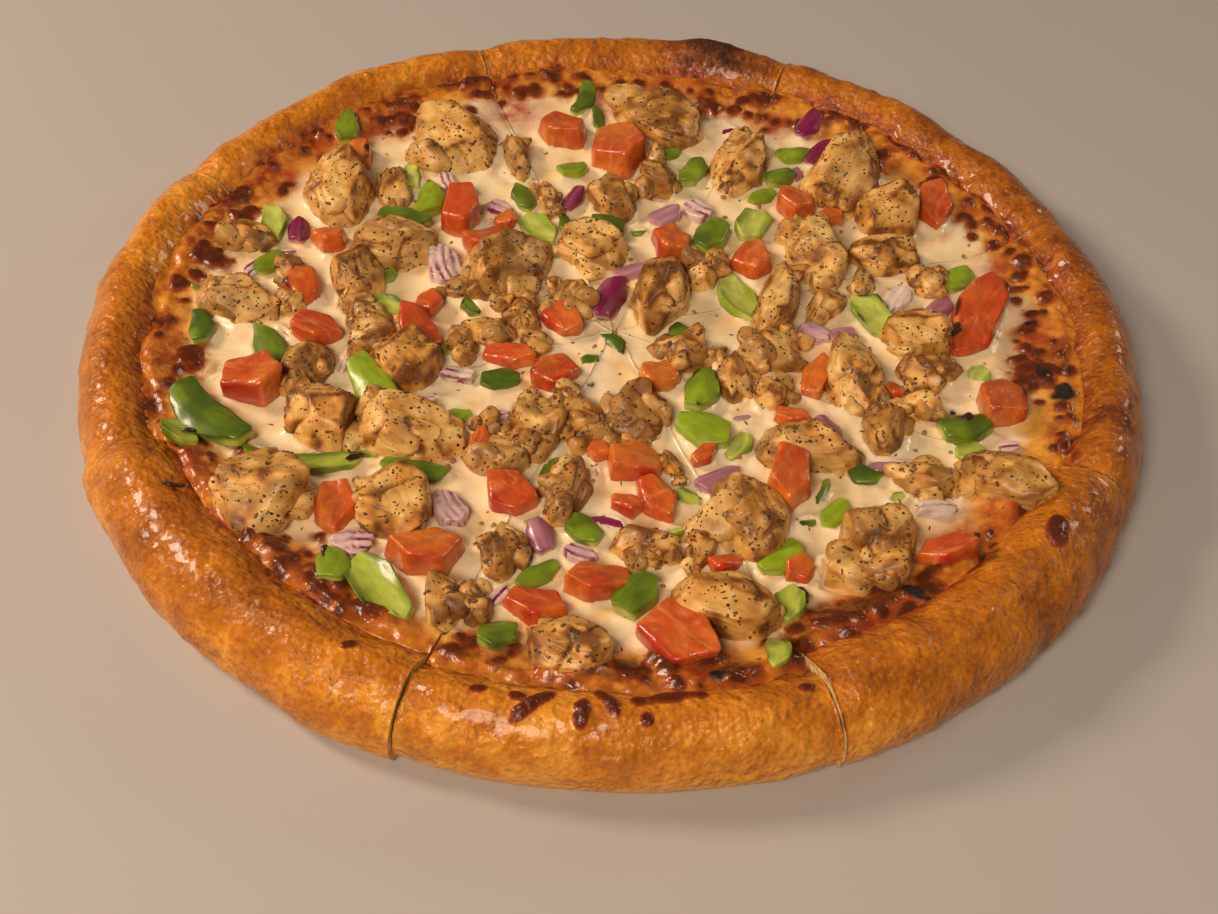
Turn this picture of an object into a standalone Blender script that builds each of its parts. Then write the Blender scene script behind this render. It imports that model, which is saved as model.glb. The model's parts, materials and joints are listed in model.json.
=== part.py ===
"""A grilled chicken pizza cut in eight: crust slices, cheese slices and toppings, in metres, +Z up."""

import math
import random

import bmesh
import bpy
import numpy as np
from mathutils import Vector, noise
from mathutils.bvhtree import BVHTree
from mathutils.geometry import convex_hull_2d

MM = 0.001
CONTACT_GAP = 0.35 * MM
RIM_GAP = 0.6 * MM
CUT_GAP = 0.8 * MM
WELD = 0.01 * MM
AXIS_RADIUS = 0.0001 * MM
TURN_STEPS = 12

# Heights and thicknesses of the two layers
BASE_HEIGHT = 8.5 * MM
CHEESE_THICKNESS = 4.3 * MM
CHEESE_EDGE = 1.2 * MM
EDGE_OVERHANG = 1.0 * MM
EDGE_DROP = 5.2 * MM
EDGE_SLOPE = 0.75
SLOPE_WIDTH = 22.0 * MM

# The bread's slope up to the cheese's edge: distance inside the rim, rise above the flat bread
BREAD_FOOT = (13.0, 0.8)
BREAD_STEEP = 6.0 * MM
# The rim over its crest: share of the rim's width in from the outside, drop below the crest
RIM_ROWS = ((0.78, 1.8), (0.55, 0.0), (0.30, 2.0))
# The outer side down to the base: distance in from the outside, height
SIDE_ROWS = ((1.8, 15.5), (0.0, 9.0), (0.9, 3.5), (2.8, 0.0))
# The cheese's top towards the rim: distance inside the rim, rise above its middle
CHEESE_RISE = ((32.0, 0.0), (21.0, 0.5), (13.0, 1.4))
# The cheese's top on the rim's inner slope: distance inside the rim, drop below the crest
CHEESE_CLIMB = ((6.0, 6.4), (2.0, 4.6))

# How uneven the bread and the cheese are
RIM_LUMP = 1.3 * MM
RIM_WAVES = 5.5
HEIGHT_WAVES = 7.0
EDGE_DRAW_IN = 5.5 * MM
CHEESE_SWELL = 0.7 * MM
SWELL_SIZE = 12.0 * MM
MEAN_CREST = 22.8 * MM
LEVEL_SHARE = 0.4
LUMP_RAMP = 26.0 * MM
CUT_DIP = 1.8 * MM
CUT_NOTCH = 1.0 * MM
CUT_REACH = 5.0 * MM
HUMP_ANGLE = math.radians(78)
HUMP_SPREAD = math.radians(6)
HUMP_RISE = 3.6 * MM
HUMP_PLACE = 0.45
HUMP_WIDTH = 8.0 * MM

# Where in the noise field the cheese's edge and the rim's height take their shape
EDGE_PLACE = Vector((0, 0, 21))
HEIGHT_PLACE = Vector((0, 0, 5))

# Each slice: the cut it starts at in degrees from +X, outer radius, crest height and rim width
SLICES = (
    (22, 157.6, 22.6, 21.0),
    (68, 157.2, 22.0, 21.0),
    (111, 157.0, 22.2, 20.0),
    (157, 158.0, 22.8, 20.0),
    (206, 159.2, 23.4, 25.0),
    (252, 157.2, 22.6, 21.0),
    (293, 158.4, 23.8, 26.0),
    (337, 157.8, 23.0, 20.0),
)

# Toppings that are pieces of their own: x, y, length, width, turn in degrees, height
CHICKEN = (
    (-57, 90, 34, 30, 120, 10), (-92, 57, 31, 23, 108, 11), (-72, 33, 30, 19, 175, 11),
    (-81, 17, 25, 17, 100, 10), (-35, 23, 36, 24, 55, 12), (-8, 36, 24, 19, 165, 11),
    (-114, 3, 28, 20, 150, 8), (11, 110, 40, 25, 135, 9), (39, 84, 34, 18, 75, 11),
    (73, 81, 35, 25, 70, 13), (87, 62, 27, 20, 70, 11), (63, 40, 34, 20, 100, 11),
    (84, 40, 22, 18, 170, 10), (14, 17, 36, 17, 80, 12), (50, 15, 30, 14, 70, 11),
    (93, 3, 25, 17, 160, 11), (-61, -22, 25, 20, 130, 11), (-81, -46, 28, 21, 100, 11),
    (-56, -50, 31, 21, 175, 12), (-93, -77, 28, 25, 10, 12), (-57, -78, 26, 22, 120, 12),
    (-7, -123, 24, 20, 150, 10), (71, -16, 33, 16, 95, 12), (56, -48, 33, 18, 175, 11),
    (111, -59, 28, 18, 145, 10), (39, -76, 31, 21, 105, 12), (73, -82, 27, 20, 110, 11),
    (32, -107, 28, 21, 165, 12),
)
TOMATO = (
    (-3, 91, 31, 23, 95, 8), (111, 12, 35, 17, 65, 7), (-46, -95, 24, 16, 10, 8),
    (21, -119, 26, 17, 135, 7), (-52, 51, 26, 15, 100, 9), (-22, 100, 24, 18, 115, 7),
    (-104, -34, 19, 17, 165, 9), (51, -62, 22, 14, 80, 9), (114, -26, 20, 15, 80, 7),
)
PEPPER = (
    (-113, -49, 34, 14, 138, 6), (-69, -31, 27, 13, 125, 6), (-57, -108, 28, 13, 130, 7),
    (79, 12, 21, 11, 115, 6), (38, 16, 25, 11, 115, 5),
)
ONION = ((-2, 13, 21, 11, 75, 6), (-54, 23, 18, 14, 110, 5))

# Smaller toppings, joined to the cheese they lie on: x, y, length, width, turn in degrees
SMALL_CHICKEN = (
    (-74, 61, 21, 13, 95), (-13, 13, 18, 11, 110), (-2, 62, 26, 16, 110), (-117, 33, 20, 11, 170),
    (-101, 18, 15, 12, 120), (-79, 5, 13, 10, 60), (-28, 3, 15, 12, 100), (-36, 84, 28, 9, 107),
    (11, 77, 27, 13, 100), (98, 28, 15, 11, 60), (27, 28, 19, 11, 70), (65, 15, 18, 10, 45),
    (92, -12, 18, 16, 10), (-89, -25, 23, 16, 80), (-72, -6, 19, 15, 170), (-29, -57, 19, 15, 150),
    (-21, -42, 25, 15, 110), (-9, -38, 13, 10, 60), (-39, -5, 17, 10, 170), (-27, -93, 19, 12, 100),
    (-40, -111, 23, 11, 95), (-32, -111, 17, 8, 95), (-10, -69, 24, 13, 75), (22, -11, 18, 14, 140),
    (35, -20, 22, 12, 100), (47, -8, 21, 16, 170), (47, -27, 13, 12, 30), (79, -38, 23, 14, 85),
    (90, -28, 15, 13, 40), (90, -58, 22, 14, 165), (11, -87, 21, 14, 165), (26, -88, 20, 8, 65),
    (7, -39, 22, 19, 120),
)
SMALL_TOMATO = (
    (-89, 78, 16, 14, 90), (-92, 34, 14, 13, 170), (-96, 10, 17, 12, 110), (-41, 37, 18, 14, 20),
    (-16, 1, 16, 11, 120), (17, 42, 18, 15, 110), (42, 35, 21, 15, 95), (57, 66, 20, 14, 110),
    (68, 59, 12, 9, 40), (103, 66, 22, 13, 85), (-89, -9, 17, 12, 160), (-58, -8, 22, 12, 130),
    (-31, -16, 18, 8, 165), (-17, -23, 16, 13, 30), (-26, -72, 18, 13, 140), (-72, -80, 20, 14, 100),
    (-16, -110, 20, 14, 165), (0, -101, 20, 13, 20), (8, -57, 19, 16, 10), (14, -22, 16, 12, 10),
    (60, -19, 18, 9, 70), (52, -36, 14, 8, 155), (14, -71, 17, 10, 120), (91, -87, 18, 13, 10),
    (52, -94, 10, 9, 30),
)
SMALL_PEPPER = (
    (-94, 91, 15, 9, 85), (-70, 72, 16, 7, 100), (-63, 57, 18, 10, 80), (-70, 46, 20, 10, 170),
    (-32, 62, 15, 8, 110), (-26, 46, 18, 10, 130), (-4, 49, 14, 9, 150), (-17, 79, 11, 8, 20),
    (-15, 120, 18, 8, 80), (-111, 40, 19, 9, 100), (-109, 21, 12, 8, 60), (-67, 4, 18, 8, 150),
    (23, 81, 15, 9, 70), (52, 80, 12, 9, 30), (57, 94, 12, 8, 10), (46, 69, 12, 7, 40),
    (43, 54, 16, 12, 70), (29, 46, 17, 11, 65), (107, 31, 13, 9, 50), (20, -2, 10, 8, 100),
    (-119, -58, 14, 10, 130), (-79, -63, 24, 8, 5), (-53, -64, 21, 8, 170), (-102, -19, 23, 10, 105),
    (-123, -11, 14, 8, 100), (-33, -26, 13, 9, 10), (-5, -83, 12, 9, 130), (-17, -99, 15, 7, 40),
    (-70, -102, 13, 10, 100), (-25, -121, 12, 10, 20), (26, -27, 18, 11, 70), (27, -43, 18, 13, 150),
    (37, -47, 13, 7, 70), (102, -36, 18, 12, 10), (72, -56, 12, 7, 150), (63, -72, 12, 8, 50),
    (48, -89, 17, 9, 50), (49, -105, 13, 9, 85), (9, -105, 16, 12, 60), (45, -122, 12, 7, 95),
)
SMALL_ONION = (
    (-40, 56, 12, 8, 140), (-16, 63, 15, 7, 70), (-102, 38, 13, 8, 95), (63, 109, 13, 9, 60),
    (66, 96, 15, 7, 50), (14, 57, 13, 10, 40), (25, 60, 12, 9, 130), (87, 20, 15, 9, 60),
    (100, 17, 11, 8, 50), (61, 2, 13, 9, 150), (-45, -25, 13, 8, 160), (-42, -78, 16, 11, 120),
    (-66, -92, 12, 10, 10), (-17, -86, 13, 9, 110), (-6, -91, 12, 8, 170), (31, -62, 15, 10, 30),
    (63, -39, 11, 7, 130), (91, -69, 14, 8, 10), (4, 27, 13, 8, 30),
)
BLISTERS = (
    (-124, -24, 11, 9, 100), (-125, 22, 9, 7, 150), (-75, 101, 13, 8, 10), (28, 122, 11, 8, 130),
    (84, 94, 12, 9, 140), (124, -9, 14, 9, 80), (-72, -104, 12, 8, 160), (62, -109, 17, 9, 20),
)

# Rings of each shape from the bottom up: share of the outline's reach, share of the height
CHUNK_RINGS = ((0.86, 0.0), (1.0, 0.34), (0.93, 0.70), (0.62, 0.96))
DICE_RINGS = ((0.94, 0.0), (1.0, 0.25), (0.95, 0.86), (0.80, 1.0))
STRIP_RINGS = ((0.95, 0.0), (1.0, 0.40), (0.88, 1.0))
SMALL_RINGS = ((0.92, 0.0), (1.0, 0.55), (0.70, 1.0))
DOME_RINGS = ((1.0, 0.0), (0.96, 0.62), (0.55, 1.0))
SMALL_SINK = 1.6 * MM
SMALL_HEIGHTS = {"chicken": 8.0, "tomato": 6.0, "pepper": 4.5, "onion": 4.0, "blister": 2.4}
SMALL_CORNERS = {"chicken": 7, "tomato": 5, "pepper": 6, "onion": 6, "blister": 6}
SMALL_EDGE = 131.0 * MM
CUT_CLEARANCE = 2.2 * MM
LEAST_SHARE = 0.42
LEAST_AREA = 26.0 * MM * MM
BLISTER_SINK = 0.6 * MM
LEAN = 0.16
RAGGED = (0.86, 1.0)
CROWN = (0.0, 0.1)
CORNER_SHIFT = 0.18
CORNER_REACH = (0.93, 1.10)
LEAST_SIDE = 1.0 * MM
DIRECTIONS = 48
SAMPLE_STEP = 2.0 * MM
RAY_HEIGHT = 100.0 * MM
LARGE_SEEDS = (7, 101)
SMALL_SEED_STEP = 53
LARGE = (
    ("chicken", CHICKEN, 10, CHUNK_RINGS),
    ("tomato", TOMATO, 6, DICE_RINGS),
    ("pepper", PEPPER, 8, STRIP_RINGS),
    ("onion", ONION, 8, STRIP_RINGS),
)
SMALL = (
    ("blister", BLISTERS),
    ("chicken", SMALL_CHICKEN),
    ("tomato", SMALL_TOMATO),
    ("pepper", SMALL_PEPPER),
    ("onion", SMALL_ONION),
)

COLOURS = {
    "crust": ((0.50, 0.17, 0.025), 0.38),
    "cheese": ((0.78, 0.52, 0.20), 0.30),
    "chicken": ((0.55, 0.28, 0.07), 0.42),
    "tomato": ((0.62, 0.08, 0.02), 0.25),
    "pepper": ((0.22, 0.30, 0.02), 0.30),
    "onion": ((0.42, 0.16, 0.24), 0.30),
}


def clear_scene():
    for obj in list(bpy.data.objects):
        bpy.data.objects.remove(obj, do_unlink=True)


def new_collection(name):
    collection = bpy.data.collections.new(name)
    bpy.context.scene.collection.children.link(collection)
    return collection


def material(kind):
    colour, roughness = COLOURS[kind]
    made = bpy.data.materials.get(kind) or bpy.data.materials.new(kind)
    made.use_nodes = True
    shader = made.node_tree.nodes["Principled BSDF"]
    shader.inputs["Base Color"].default_value = (*colour, 1.0)
    shader.inputs["Roughness"].default_value = roughness
    shader.inputs["Metallic"].default_value = 0.0
    return made


def add_object(name, mesh, kind, collection):
    obj = bpy.data.objects.new(name, mesh)
    obj.data.materials.append(material(kind))
    collection.objects.link(obj)
    return obj


def evaluated_mesh(obj):
    bpy.context.view_layer.update()
    graph = bpy.context.evaluated_depsgraph_get()
    return bpy.data.meshes.new_from_object(obj.evaluated_get(graph))


def finish_mesh(bm, mesh):
    """Writes a closed shape to the mesh with its faces pointing out."""
    bmesh.ops.recalc_face_normals(bm, faces=bm.faces)
    if bm.calc_volume(signed=True) < 0:
        bmesh.ops.reverse_faces(bm, faces=bm.faces)
    bm.to_mesh(mesh)
    bm.free()


def smooth(value):
    value = min(max(value, 0.0), 1.0)
    return value * value * (3.0 - 2.0 * value)


class Slice:
    """One of the eight slices: its cuts, its rim, and how its bread and cheese swell and dip."""

    def __init__(self, index):
        start, radius, crest, rim = SLICES[index]
        following = SLICES[(index + 1) % len(SLICES)][0]
        self.start = math.radians(start)
        self.width = math.radians((following - start) % 360)
        self.radius = radius * MM
        self.crest = crest * MM
        self.rim = rim * MM
        self.edge = self.radius - self.rim
        self.slope_foot = self.edge - SLOPE_WIDTH
        middle = self.start + self.width / 2
        shift = CUT_GAP / 2 / math.sin(self.width / 2)
        self.spread = Vector((math.cos(middle), math.sin(middle), 0)) * shift

    def sides(self):
        """Both cut faces, each as a direction out of the slice and how far toppings may reach."""
        end = self.start + self.width
        first = Vector((math.sin(self.start), -math.cos(self.start)))
        second = Vector((-math.sin(end), math.cos(end)))
        return [(first, -CUT_CLEARANCE), (second, -CUT_CLEARANCE)]

    def holds(self, point):
        return (math.atan2(point.y, point.x) - self.start) % (2 * math.pi) < self.width

    def inner_rows(self):
        """Top of the bread from the middle out to the cheese's edge, as radius and height."""
        inside, rise = BREAD_FOOT
        edge_height = self.crest - EDGE_DROP
        return [
            (0.0, BASE_HEIGHT),
            (self.slope_foot, BASE_HEIGHT),
            (self.edge - inside * MM, BASE_HEIGHT + rise * MM),
            (self.edge + EDGE_OVERHANG - BREAD_STEEP, edge_height - BREAD_STEEP * EDGE_SLOPE),
            (self.edge + EDGE_OVERHANG, edge_height),
        ]

    def crust_profile(self):
        """Closed at the axis: over the top from the middle outwards, down the side and back below."""
        over = [(self.radius - share * self.rim, self.crest - drop * MM) for share, drop in RIM_ROWS]
        side = [(self.radius - inside * MM, height * MM) for inside, height in SIDE_ROWS]
        return self.inner_rows() + over + side + [(0.0, 0.0)]

    def cheese_profile(self):
        """The top from the middle to the edge, then back to the middle just above the bread."""
        top = BASE_HEIGHT + CHEESE_THICKNESS + (self.crest - MEAN_CREST) * LEVEL_SHARE
        edge_top = self.crest - EDGE_DROP + RIM_GAP + CHEESE_EDGE
        rows = [(0.0, top)]
        rows += [(self.edge - inside * MM, top + rise * MM) for inside, rise in CHEESE_RISE]
        rows += [(self.edge - inside * MM, self.crest - drop * MM) for inside, drop in CHEESE_CLIMB]
        rows += [(self.edge + EDGE_OVERHANG, edge_top)]
        below = reversed(self.inner_rows())
        return rows + [(r, z + (RIM_GAP if r > self.slope_foot else CONTACT_GAP)) for r, z in below]

    def bend(self, place, is_cheese):
        """Moves a turned point to its slice, with the rim's lumps, the cuts' dips and the cheese's swell."""
        r, z = math.hypot(place.x, place.y), place.z
        share = min(abs(math.atan2(place.y, place.x)) / self.width, 1.0) if r > AXIS_RADIUS else 0.5
        share = 0.5 * share + 0.25 - 0.25 * math.cos(math.pi * share)
        angle = self.start + share * self.width
        ramp = smooth((r - self.slope_foot) / LUMP_RAMP)
        level = z / self.crest
        around = Vector((math.cos(angle), math.sin(angle), 0))
        if is_cheese and r > self.edge + EDGE_OVERHANG / 2:
            draw_in = EDGE_DRAW_IN * abs(noise.noise(around * HEIGHT_WAVES + EDGE_PLACE))
            r -= draw_in
            z -= draw_in * EDGE_SLOPE
        elif is_cheese and r > self.slope_foot and z > BASE_HEIGHT + CHEESE_THICKNESS / 2:
            z += CHEESE_SWELL * noise.noise(r * around / SWELL_SIZE)
        from_cut = r * math.sin(min(share, 1 - share) * self.width)
        near_cut = math.exp(-((from_cut / CUT_REACH) ** 2)) * ramp * level * level
        r += RIM_LUMP * ramp * noise.noise(around * RIM_WAVES)
        z += RIM_LUMP * ramp * level * noise.noise(around * HEIGHT_WAVES + HEIGHT_PLACE)
        z -= CUT_DIP * near_cut
        beside = math.exp(-(((angle - HUMP_ANGLE) / HUMP_SPREAD) ** 2))
        across = math.exp(-(((r - self.radius + self.rim * HUMP_PLACE) / HUMP_WIDTH) ** 2))
        z += HUMP_RISE * beside * across * level
        if r > AXIS_RADIUS:
            angle += math.copysign(CUT_NOTCH * near_cut / r, 0.5 - share)
        return Vector((r * math.cos(angle), r * math.sin(angle), z)) + self.spread


def turned_wedge(name, profile, piece, kind, collection):
    """Turns an open profile through the slice's width, closes both cut faces and bends the result."""
    mesh = bpy.data.meshes.new(name)
    points = [(r, 0.0, z) for r, z in profile]
    mesh.from_pydata(points, [(k, k + 1) for k in range(len(points) - 1)], [])
    guide = bpy.data.objects.new(name + "_profile", mesh)
    collection.objects.link(guide)
    turn = guide.modifiers.new("Turn", "SCREW")
    turn.axis = "Z"
    turn.angle = piece.width
    turn.steps = TURN_STEPS
    turn.render_steps = TURN_STEPS
    turn.use_merge_vertices = True
    turn.merge_threshold = WELD
    turned = evaluated_mesh(guide)
    bpy.data.objects.remove(guide)

    bm = bmesh.new()
    bm.from_mesh(turned)
    bmesh.ops.remove_doubles(bm, verts=bm.verts, dist=WELD / 10)
    far_angle = max((math.atan2(vert.co.y, vert.co.x) for vert in bm.verts), key=abs)
    caps = []
    for angle in (0.0, far_angle):
        corners = []
        for r, z in profile:
            target = Vector((r * math.cos(angle), r * math.sin(angle), z))
            corners.append(min(bm.verts, key=lambda v: (v.co - target).length_squared))
        cap = bm.faces.new(corners)
        cap.normal_update()
        caps.append(cap)
    bmesh.ops.triangulate(bm, faces=caps, ngon_method="BEAUTY")
    for vert in bm.verts:
        vert.co = piece.bend(vert.co, kind == "cheese")
    bmesh.ops.triangulate(bm, faces=bm.faces, quad_method="SHORT_EDGE")
    finish_mesh(bm, turned)
    turned.name = name
    return add_object(name, turned, kind, collection)


def area(outline):
    total = 0.0
    for here, after in zip(outline, outline[1:] + outline[:1]):
        total += here.x * after.y - after.x * here.y
    return total / 2


def tidy(outline):
    """Drops corners that lie too close to the one before."""
    kept = []
    for point in outline:
        if not kept or (point - kept[-1]).length > LEAST_SIDE:
            kept.append(point)
    while len(kept) > 3 and (kept[0] - kept[-1]).length <= LEAST_SIDE:
        kept.pop()
    return kept


def clip(outline, direction, limit):
    """The part of a convex outline whose reach along the direction is below the limit."""
    kept = []
    for here, after in zip(outline, outline[1:] + outline[:1]):
        a, b = here.dot(direction) - limit, after.dot(direction) - limit
        if a <= 0:
            kept.append(here)
        if (a < 0 < b) or (b < 0 < a):
            kept.append(here.lerp(after, a / (a - b)))
    return tidy(kept) if len(kept) > 2 else []


def least_overlap(first, second):
    """The direction from first to second along which they overlap least, the overlap and the reach."""
    best = None
    for k in range(DIRECTIONS):
        heading = 2 * math.pi * k / DIRECTIONS
        direction = Vector((math.cos(heading), math.sin(heading)))
        reach = max(p.dot(direction) for p in first)
        overlap = reach - min(p.dot(direction) for p in second)
        if best is None or overlap < best[1]:
            best = (direction, overlap, reach)
    return best


class Topping:
    """A piece of topping: its kind, its convex outline seen from above, and its height."""

    def __init__(self, kind, row, corners, seed):
        x, y, length, width, turn, height = row
        rng = random.Random(seed)
        self.kind, self.height, self.seed = kind, height * MM, seed
        self.turn = math.radians(turn)
        points = []
        phase = rng.random()
        for k in range(corners):
            angle = 2 * math.pi * (k + phase + rng.uniform(-CORNER_SHIFT, CORNER_SHIFT)) / corners
            reach = rng.uniform(*CORNER_REACH)
            along, across = length / 2 * math.cos(angle) * reach, width / 2 * math.sin(angle) * reach
            cos, sin = math.cos(self.turn), math.sin(self.turn)
            points.append(Vector((x + along * cos - across * sin, y + along * sin + across * cos)) * MM)
        hull = [points[k] for k in convex_hull_2d(points)]
        self.outline = tidy(hull if area(hull) > 0 else hull[::-1])
        self.full_area = area(self.outline)

    def centre(self):
        return sum(self.outline, Vector((0, 0))) / len(self.outline)

    def fits(self):
        return len(self.outline) > 2 and area(self.outline) > max(LEAST_SHARE * self.full_area, LEAST_AREA)


def part_pieces(first, second, both):
    """Trims overlapping outlines to leave the contact gap. Only the second is trimmed unless both give."""
    direction, overlap, reach = least_overlap(first.outline, second.outline)
    if overlap <= -CONTACT_GAP:
        return
    line = reach - overlap / 2 if both else reach + CONTACT_GAP / 2
    if both:
        first.outline = clip(first.outline, direction, line - CONTACT_GAP / 2)
    second.outline = clip(second.outline, -direction, -line - CONTACT_GAP / 2)


def surface_tree(objects):
    vertices, faces = [], []
    for obj in objects:
        offset = len(vertices)
        vertices += [v.co.copy() for v in obj.data.vertices]
        faces += [[offset + k for k in face.vertices] for face in obj.data.polygons]
    return BVHTree.FromPolygons(vertices, faces)


def resting_plane(tree, topping, touching):
    """Slopes of x and y and the height of the plane through the cheese under an outline, or touching it."""
    low_x, high_x = min(p.x for p in topping.outline), max(p.x for p in topping.outline)
    low_y, high_y = min(p.y for p in topping.outline), max(p.y for p in topping.outline)
    samples = []
    for x in np.arange(low_x - SAMPLE_STEP, high_x + SAMPLE_STEP, SAMPLE_STEP):
        for y in np.arange(low_y - SAMPLE_STEP, high_y + SAMPLE_STEP, SAMPLE_STEP):
            hit = tree.ray_cast(Vector((x, y, RAY_HEIGHT)), Vector((0, 0, -1)))[0]
            if hit is not None and hit.z > BASE_HEIGHT + CHEESE_THICKNESS / 2:
                samples.append((x, y, hit.z))
    samples = np.array(samples)
    sides = np.c_[samples[:, :2], np.ones(len(samples))]
    plane = np.linalg.lstsq(sides, samples[:, 2], rcond=None)[0]
    if touching:
        plane[2] += float((samples[:, 2] - sides @ plane).max())
    return plane


def build_topping(name, topping, plane, sink, rings, look, collection):
    """Extrudes the outline's face upwards ring by ring from the plane, and pokes a crown on chicken."""
    rng = random.Random(topping.seed + 1)
    centre = topping.centre()
    loose = topping.kind == "chicken"
    tilt = Vector((rng.uniform(-1, 1), rng.uniform(-1, 1))) * LEAN
    reach = max((p - centre).length for p in topping.outline)

    def place(spoke, scale, level):
        plan = centre + spoke * scale
        ground = plane[0] * plan.x + plane[1] * plan.y + plane[2]
        return Vector((plan.x, plan.y, ground - sink + level * (topping.height + sink)))

    bm = bmesh.new()
    scale = rings[0][0]
    face = bm.faces.new([bm.verts.new(place(p - centre, scale, 0.0)) for p in topping.outline])
    bottom = face
    for ring_scale, level in rings[1:]:
        grown = bmesh.ops.extrude_face_region(bm, geom=[face])
        if face is not bottom:
            bmesh.ops.delete(bm, geom=[face], context="FACES_ONLY")
        face = next(item for item in grown["geom"] if isinstance(item, bmesh.types.BMFace))
        for vert in face.verts:
            spoke = (vert.co.to_2d() - centre) / scale
            lean = 1.0 + tilt.dot(spoke) / reach
            ragged = rng.uniform(*RAGGED) if loose and level > 0.5 else 1.0
            vert.co = place(spoke * ragged, ring_scale, level * lean * ragged)
        scale = ring_scale
    if loose:
        crown = bmesh.ops.poke(bm, faces=[face])["verts"][0]
        crown.co.z += rng.uniform(*CROWN) * topping.height
    bmesh.ops.triangulate(bm, faces=bm.faces)
    mesh = bpy.data.meshes.new(name)
    finish_mesh(bm, mesh)
    return add_object(name, mesh, look, collection)


def large_toppings():
    """The toppings that are pieces of their own, with touching ones trimmed to leave a gap."""
    pieces = []
    for kind, rows, corners, rings in LARGE:
        for count, row in enumerate(rows):
            piece = Topping(kind, row, corners, LARGE_SEEDS[0] + LARGE_SEEDS[1] * len(pieces))
            piece.name = f"{kind}_{count + 1:02d}"
            piece.rings = rings
            pieces.append(piece)
    for count, first in enumerate(pieces):
        for second in pieces[count + 1:]:
            part_pieces(first, second, both=True)
    return pieces


def small_toppings(slices, pieces):
    """The smaller toppings of each slice, trimmed to clear the cuts, the large ones and each other."""
    placed = [[] for _ in slices]
    for kind, rows in SMALL:
        for count, row in enumerate(rows):
            full_row = (*row, SMALL_HEIGHTS[kind])
            small = Topping(kind, full_row, SMALL_CORNERS[kind], SMALL_SEED_STEP * count + len(kind))
            home = next(k for k, piece in enumerate(slices) if piece.holds(small.centre()))
            limits = slices[home].sides() + [(small.centre().normalized(), SMALL_EDGE)]
            for direction, limit in limits:
                small.outline = clip(small.outline, direction, limit) if small.fits() else []
            for other in pieces + placed[home]:
                if small.fits():
                    part_pieces(other, small, both=False)
            if small.fits():
                small.name = f"{kind}_small_{home}_{len(placed[home])}"
                placed[home].append(small)
    return placed


def join_small(cheese, smalls, tree, collection):
    """Joins a slice's small toppings and blisters to its cheese with one union."""
    for small in smalls:
        rings = DOME_RINGS if small.kind == "blister" else SMALL_RINGS
        sink = BLISTER_SINK if small.kind == "blister" else SMALL_SINK
        plane = resting_plane(tree, small, touching=False)
        build_topping(small.name, small, plane, sink, rings, "cheese", collection)
    join = cheese.modifiers.new("Join", "BOOLEAN")
    join.operation = "UNION"
    join.operand_type = "COLLECTION"
    join.collection = collection
    join.solver = "EXACT"
    joined = evaluated_mesh(cheese)
    cheese.modifiers.clear()
    bm = bmesh.new()
    bm.from_mesh(joined)
    bmesh.ops.remove_doubles(bm, verts=bm.verts, dist=WELD)
    bmesh.ops.triangulate(bm, faces=bm.faces)
    finish_mesh(bm, joined)
    cheese.data = joined
    for obj in list(collection.objects):
        bpy.data.objects.remove(obj)


def main():
    clear_scene()
    pizza = new_collection("pizza")
    loose = new_collection("joining")
    slices = [Slice(index) for index in range(len(SLICES))]
    crusts, cheeses = [], []
    for count, piece in enumerate(slices):
        crusts.append(turned_wedge(f"crust_{count + 1}", piece.crust_profile(), piece, "crust", pizza))
        cheeses.append(turned_wedge(f"cheese_{count + 1}", piece.cheese_profile(), piece, "cheese", pizza))
    tree = surface_tree(crusts + cheeses)
    pieces = large_toppings()
    placed = small_toppings(slices, pieces)
    for piece in pieces:
        plane = resting_plane(tree, piece, touching=True)
        build_topping(piece.name, piece, plane, -CONTACT_GAP, piece.rings, piece.kind, pizza)
    for cheese, smalls in zip(cheeses, placed):
        join_small(cheese, smalls, tree, loose)
    bpy.data.collections.remove(loose)


main()
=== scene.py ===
"""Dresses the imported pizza: baked bread, melted cheese, toppings, flakes of herb and the stage."""

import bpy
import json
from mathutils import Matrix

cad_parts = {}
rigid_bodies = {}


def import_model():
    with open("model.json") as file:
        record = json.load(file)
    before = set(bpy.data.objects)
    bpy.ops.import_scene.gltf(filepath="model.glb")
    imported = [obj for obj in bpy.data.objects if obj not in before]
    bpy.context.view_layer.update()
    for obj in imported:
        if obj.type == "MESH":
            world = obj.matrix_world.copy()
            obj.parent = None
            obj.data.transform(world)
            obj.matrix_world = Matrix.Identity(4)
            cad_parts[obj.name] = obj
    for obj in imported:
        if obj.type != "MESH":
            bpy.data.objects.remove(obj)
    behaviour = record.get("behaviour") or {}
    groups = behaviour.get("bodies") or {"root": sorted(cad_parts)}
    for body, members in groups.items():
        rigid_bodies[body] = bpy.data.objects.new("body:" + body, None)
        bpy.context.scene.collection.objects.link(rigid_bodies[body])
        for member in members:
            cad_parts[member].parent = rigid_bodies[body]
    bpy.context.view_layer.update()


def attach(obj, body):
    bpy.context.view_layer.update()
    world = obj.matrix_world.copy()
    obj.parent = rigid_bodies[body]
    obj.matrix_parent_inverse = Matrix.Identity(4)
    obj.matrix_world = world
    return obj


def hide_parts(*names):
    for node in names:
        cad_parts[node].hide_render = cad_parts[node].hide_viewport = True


bl_info = {
    "name": "Grilled Chicken Pizza",
    "version": (1, 0, 0),
    "blender": (4, 5, 0),
    "location": "3D View > Sidebar > Pizza",
    "description": "A sliced pizza with a golden rim, melted cheese, grilled chicken and vegetables",
    "category": "Add Mesh",
}

import json
import math
import random
from itertools import product

import bmesh
import bpy
import numpy as np
from mathutils import Matrix, Vector, noise
from mathutils.geometry import convex_hull_2d

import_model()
MM = 0.001

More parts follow.
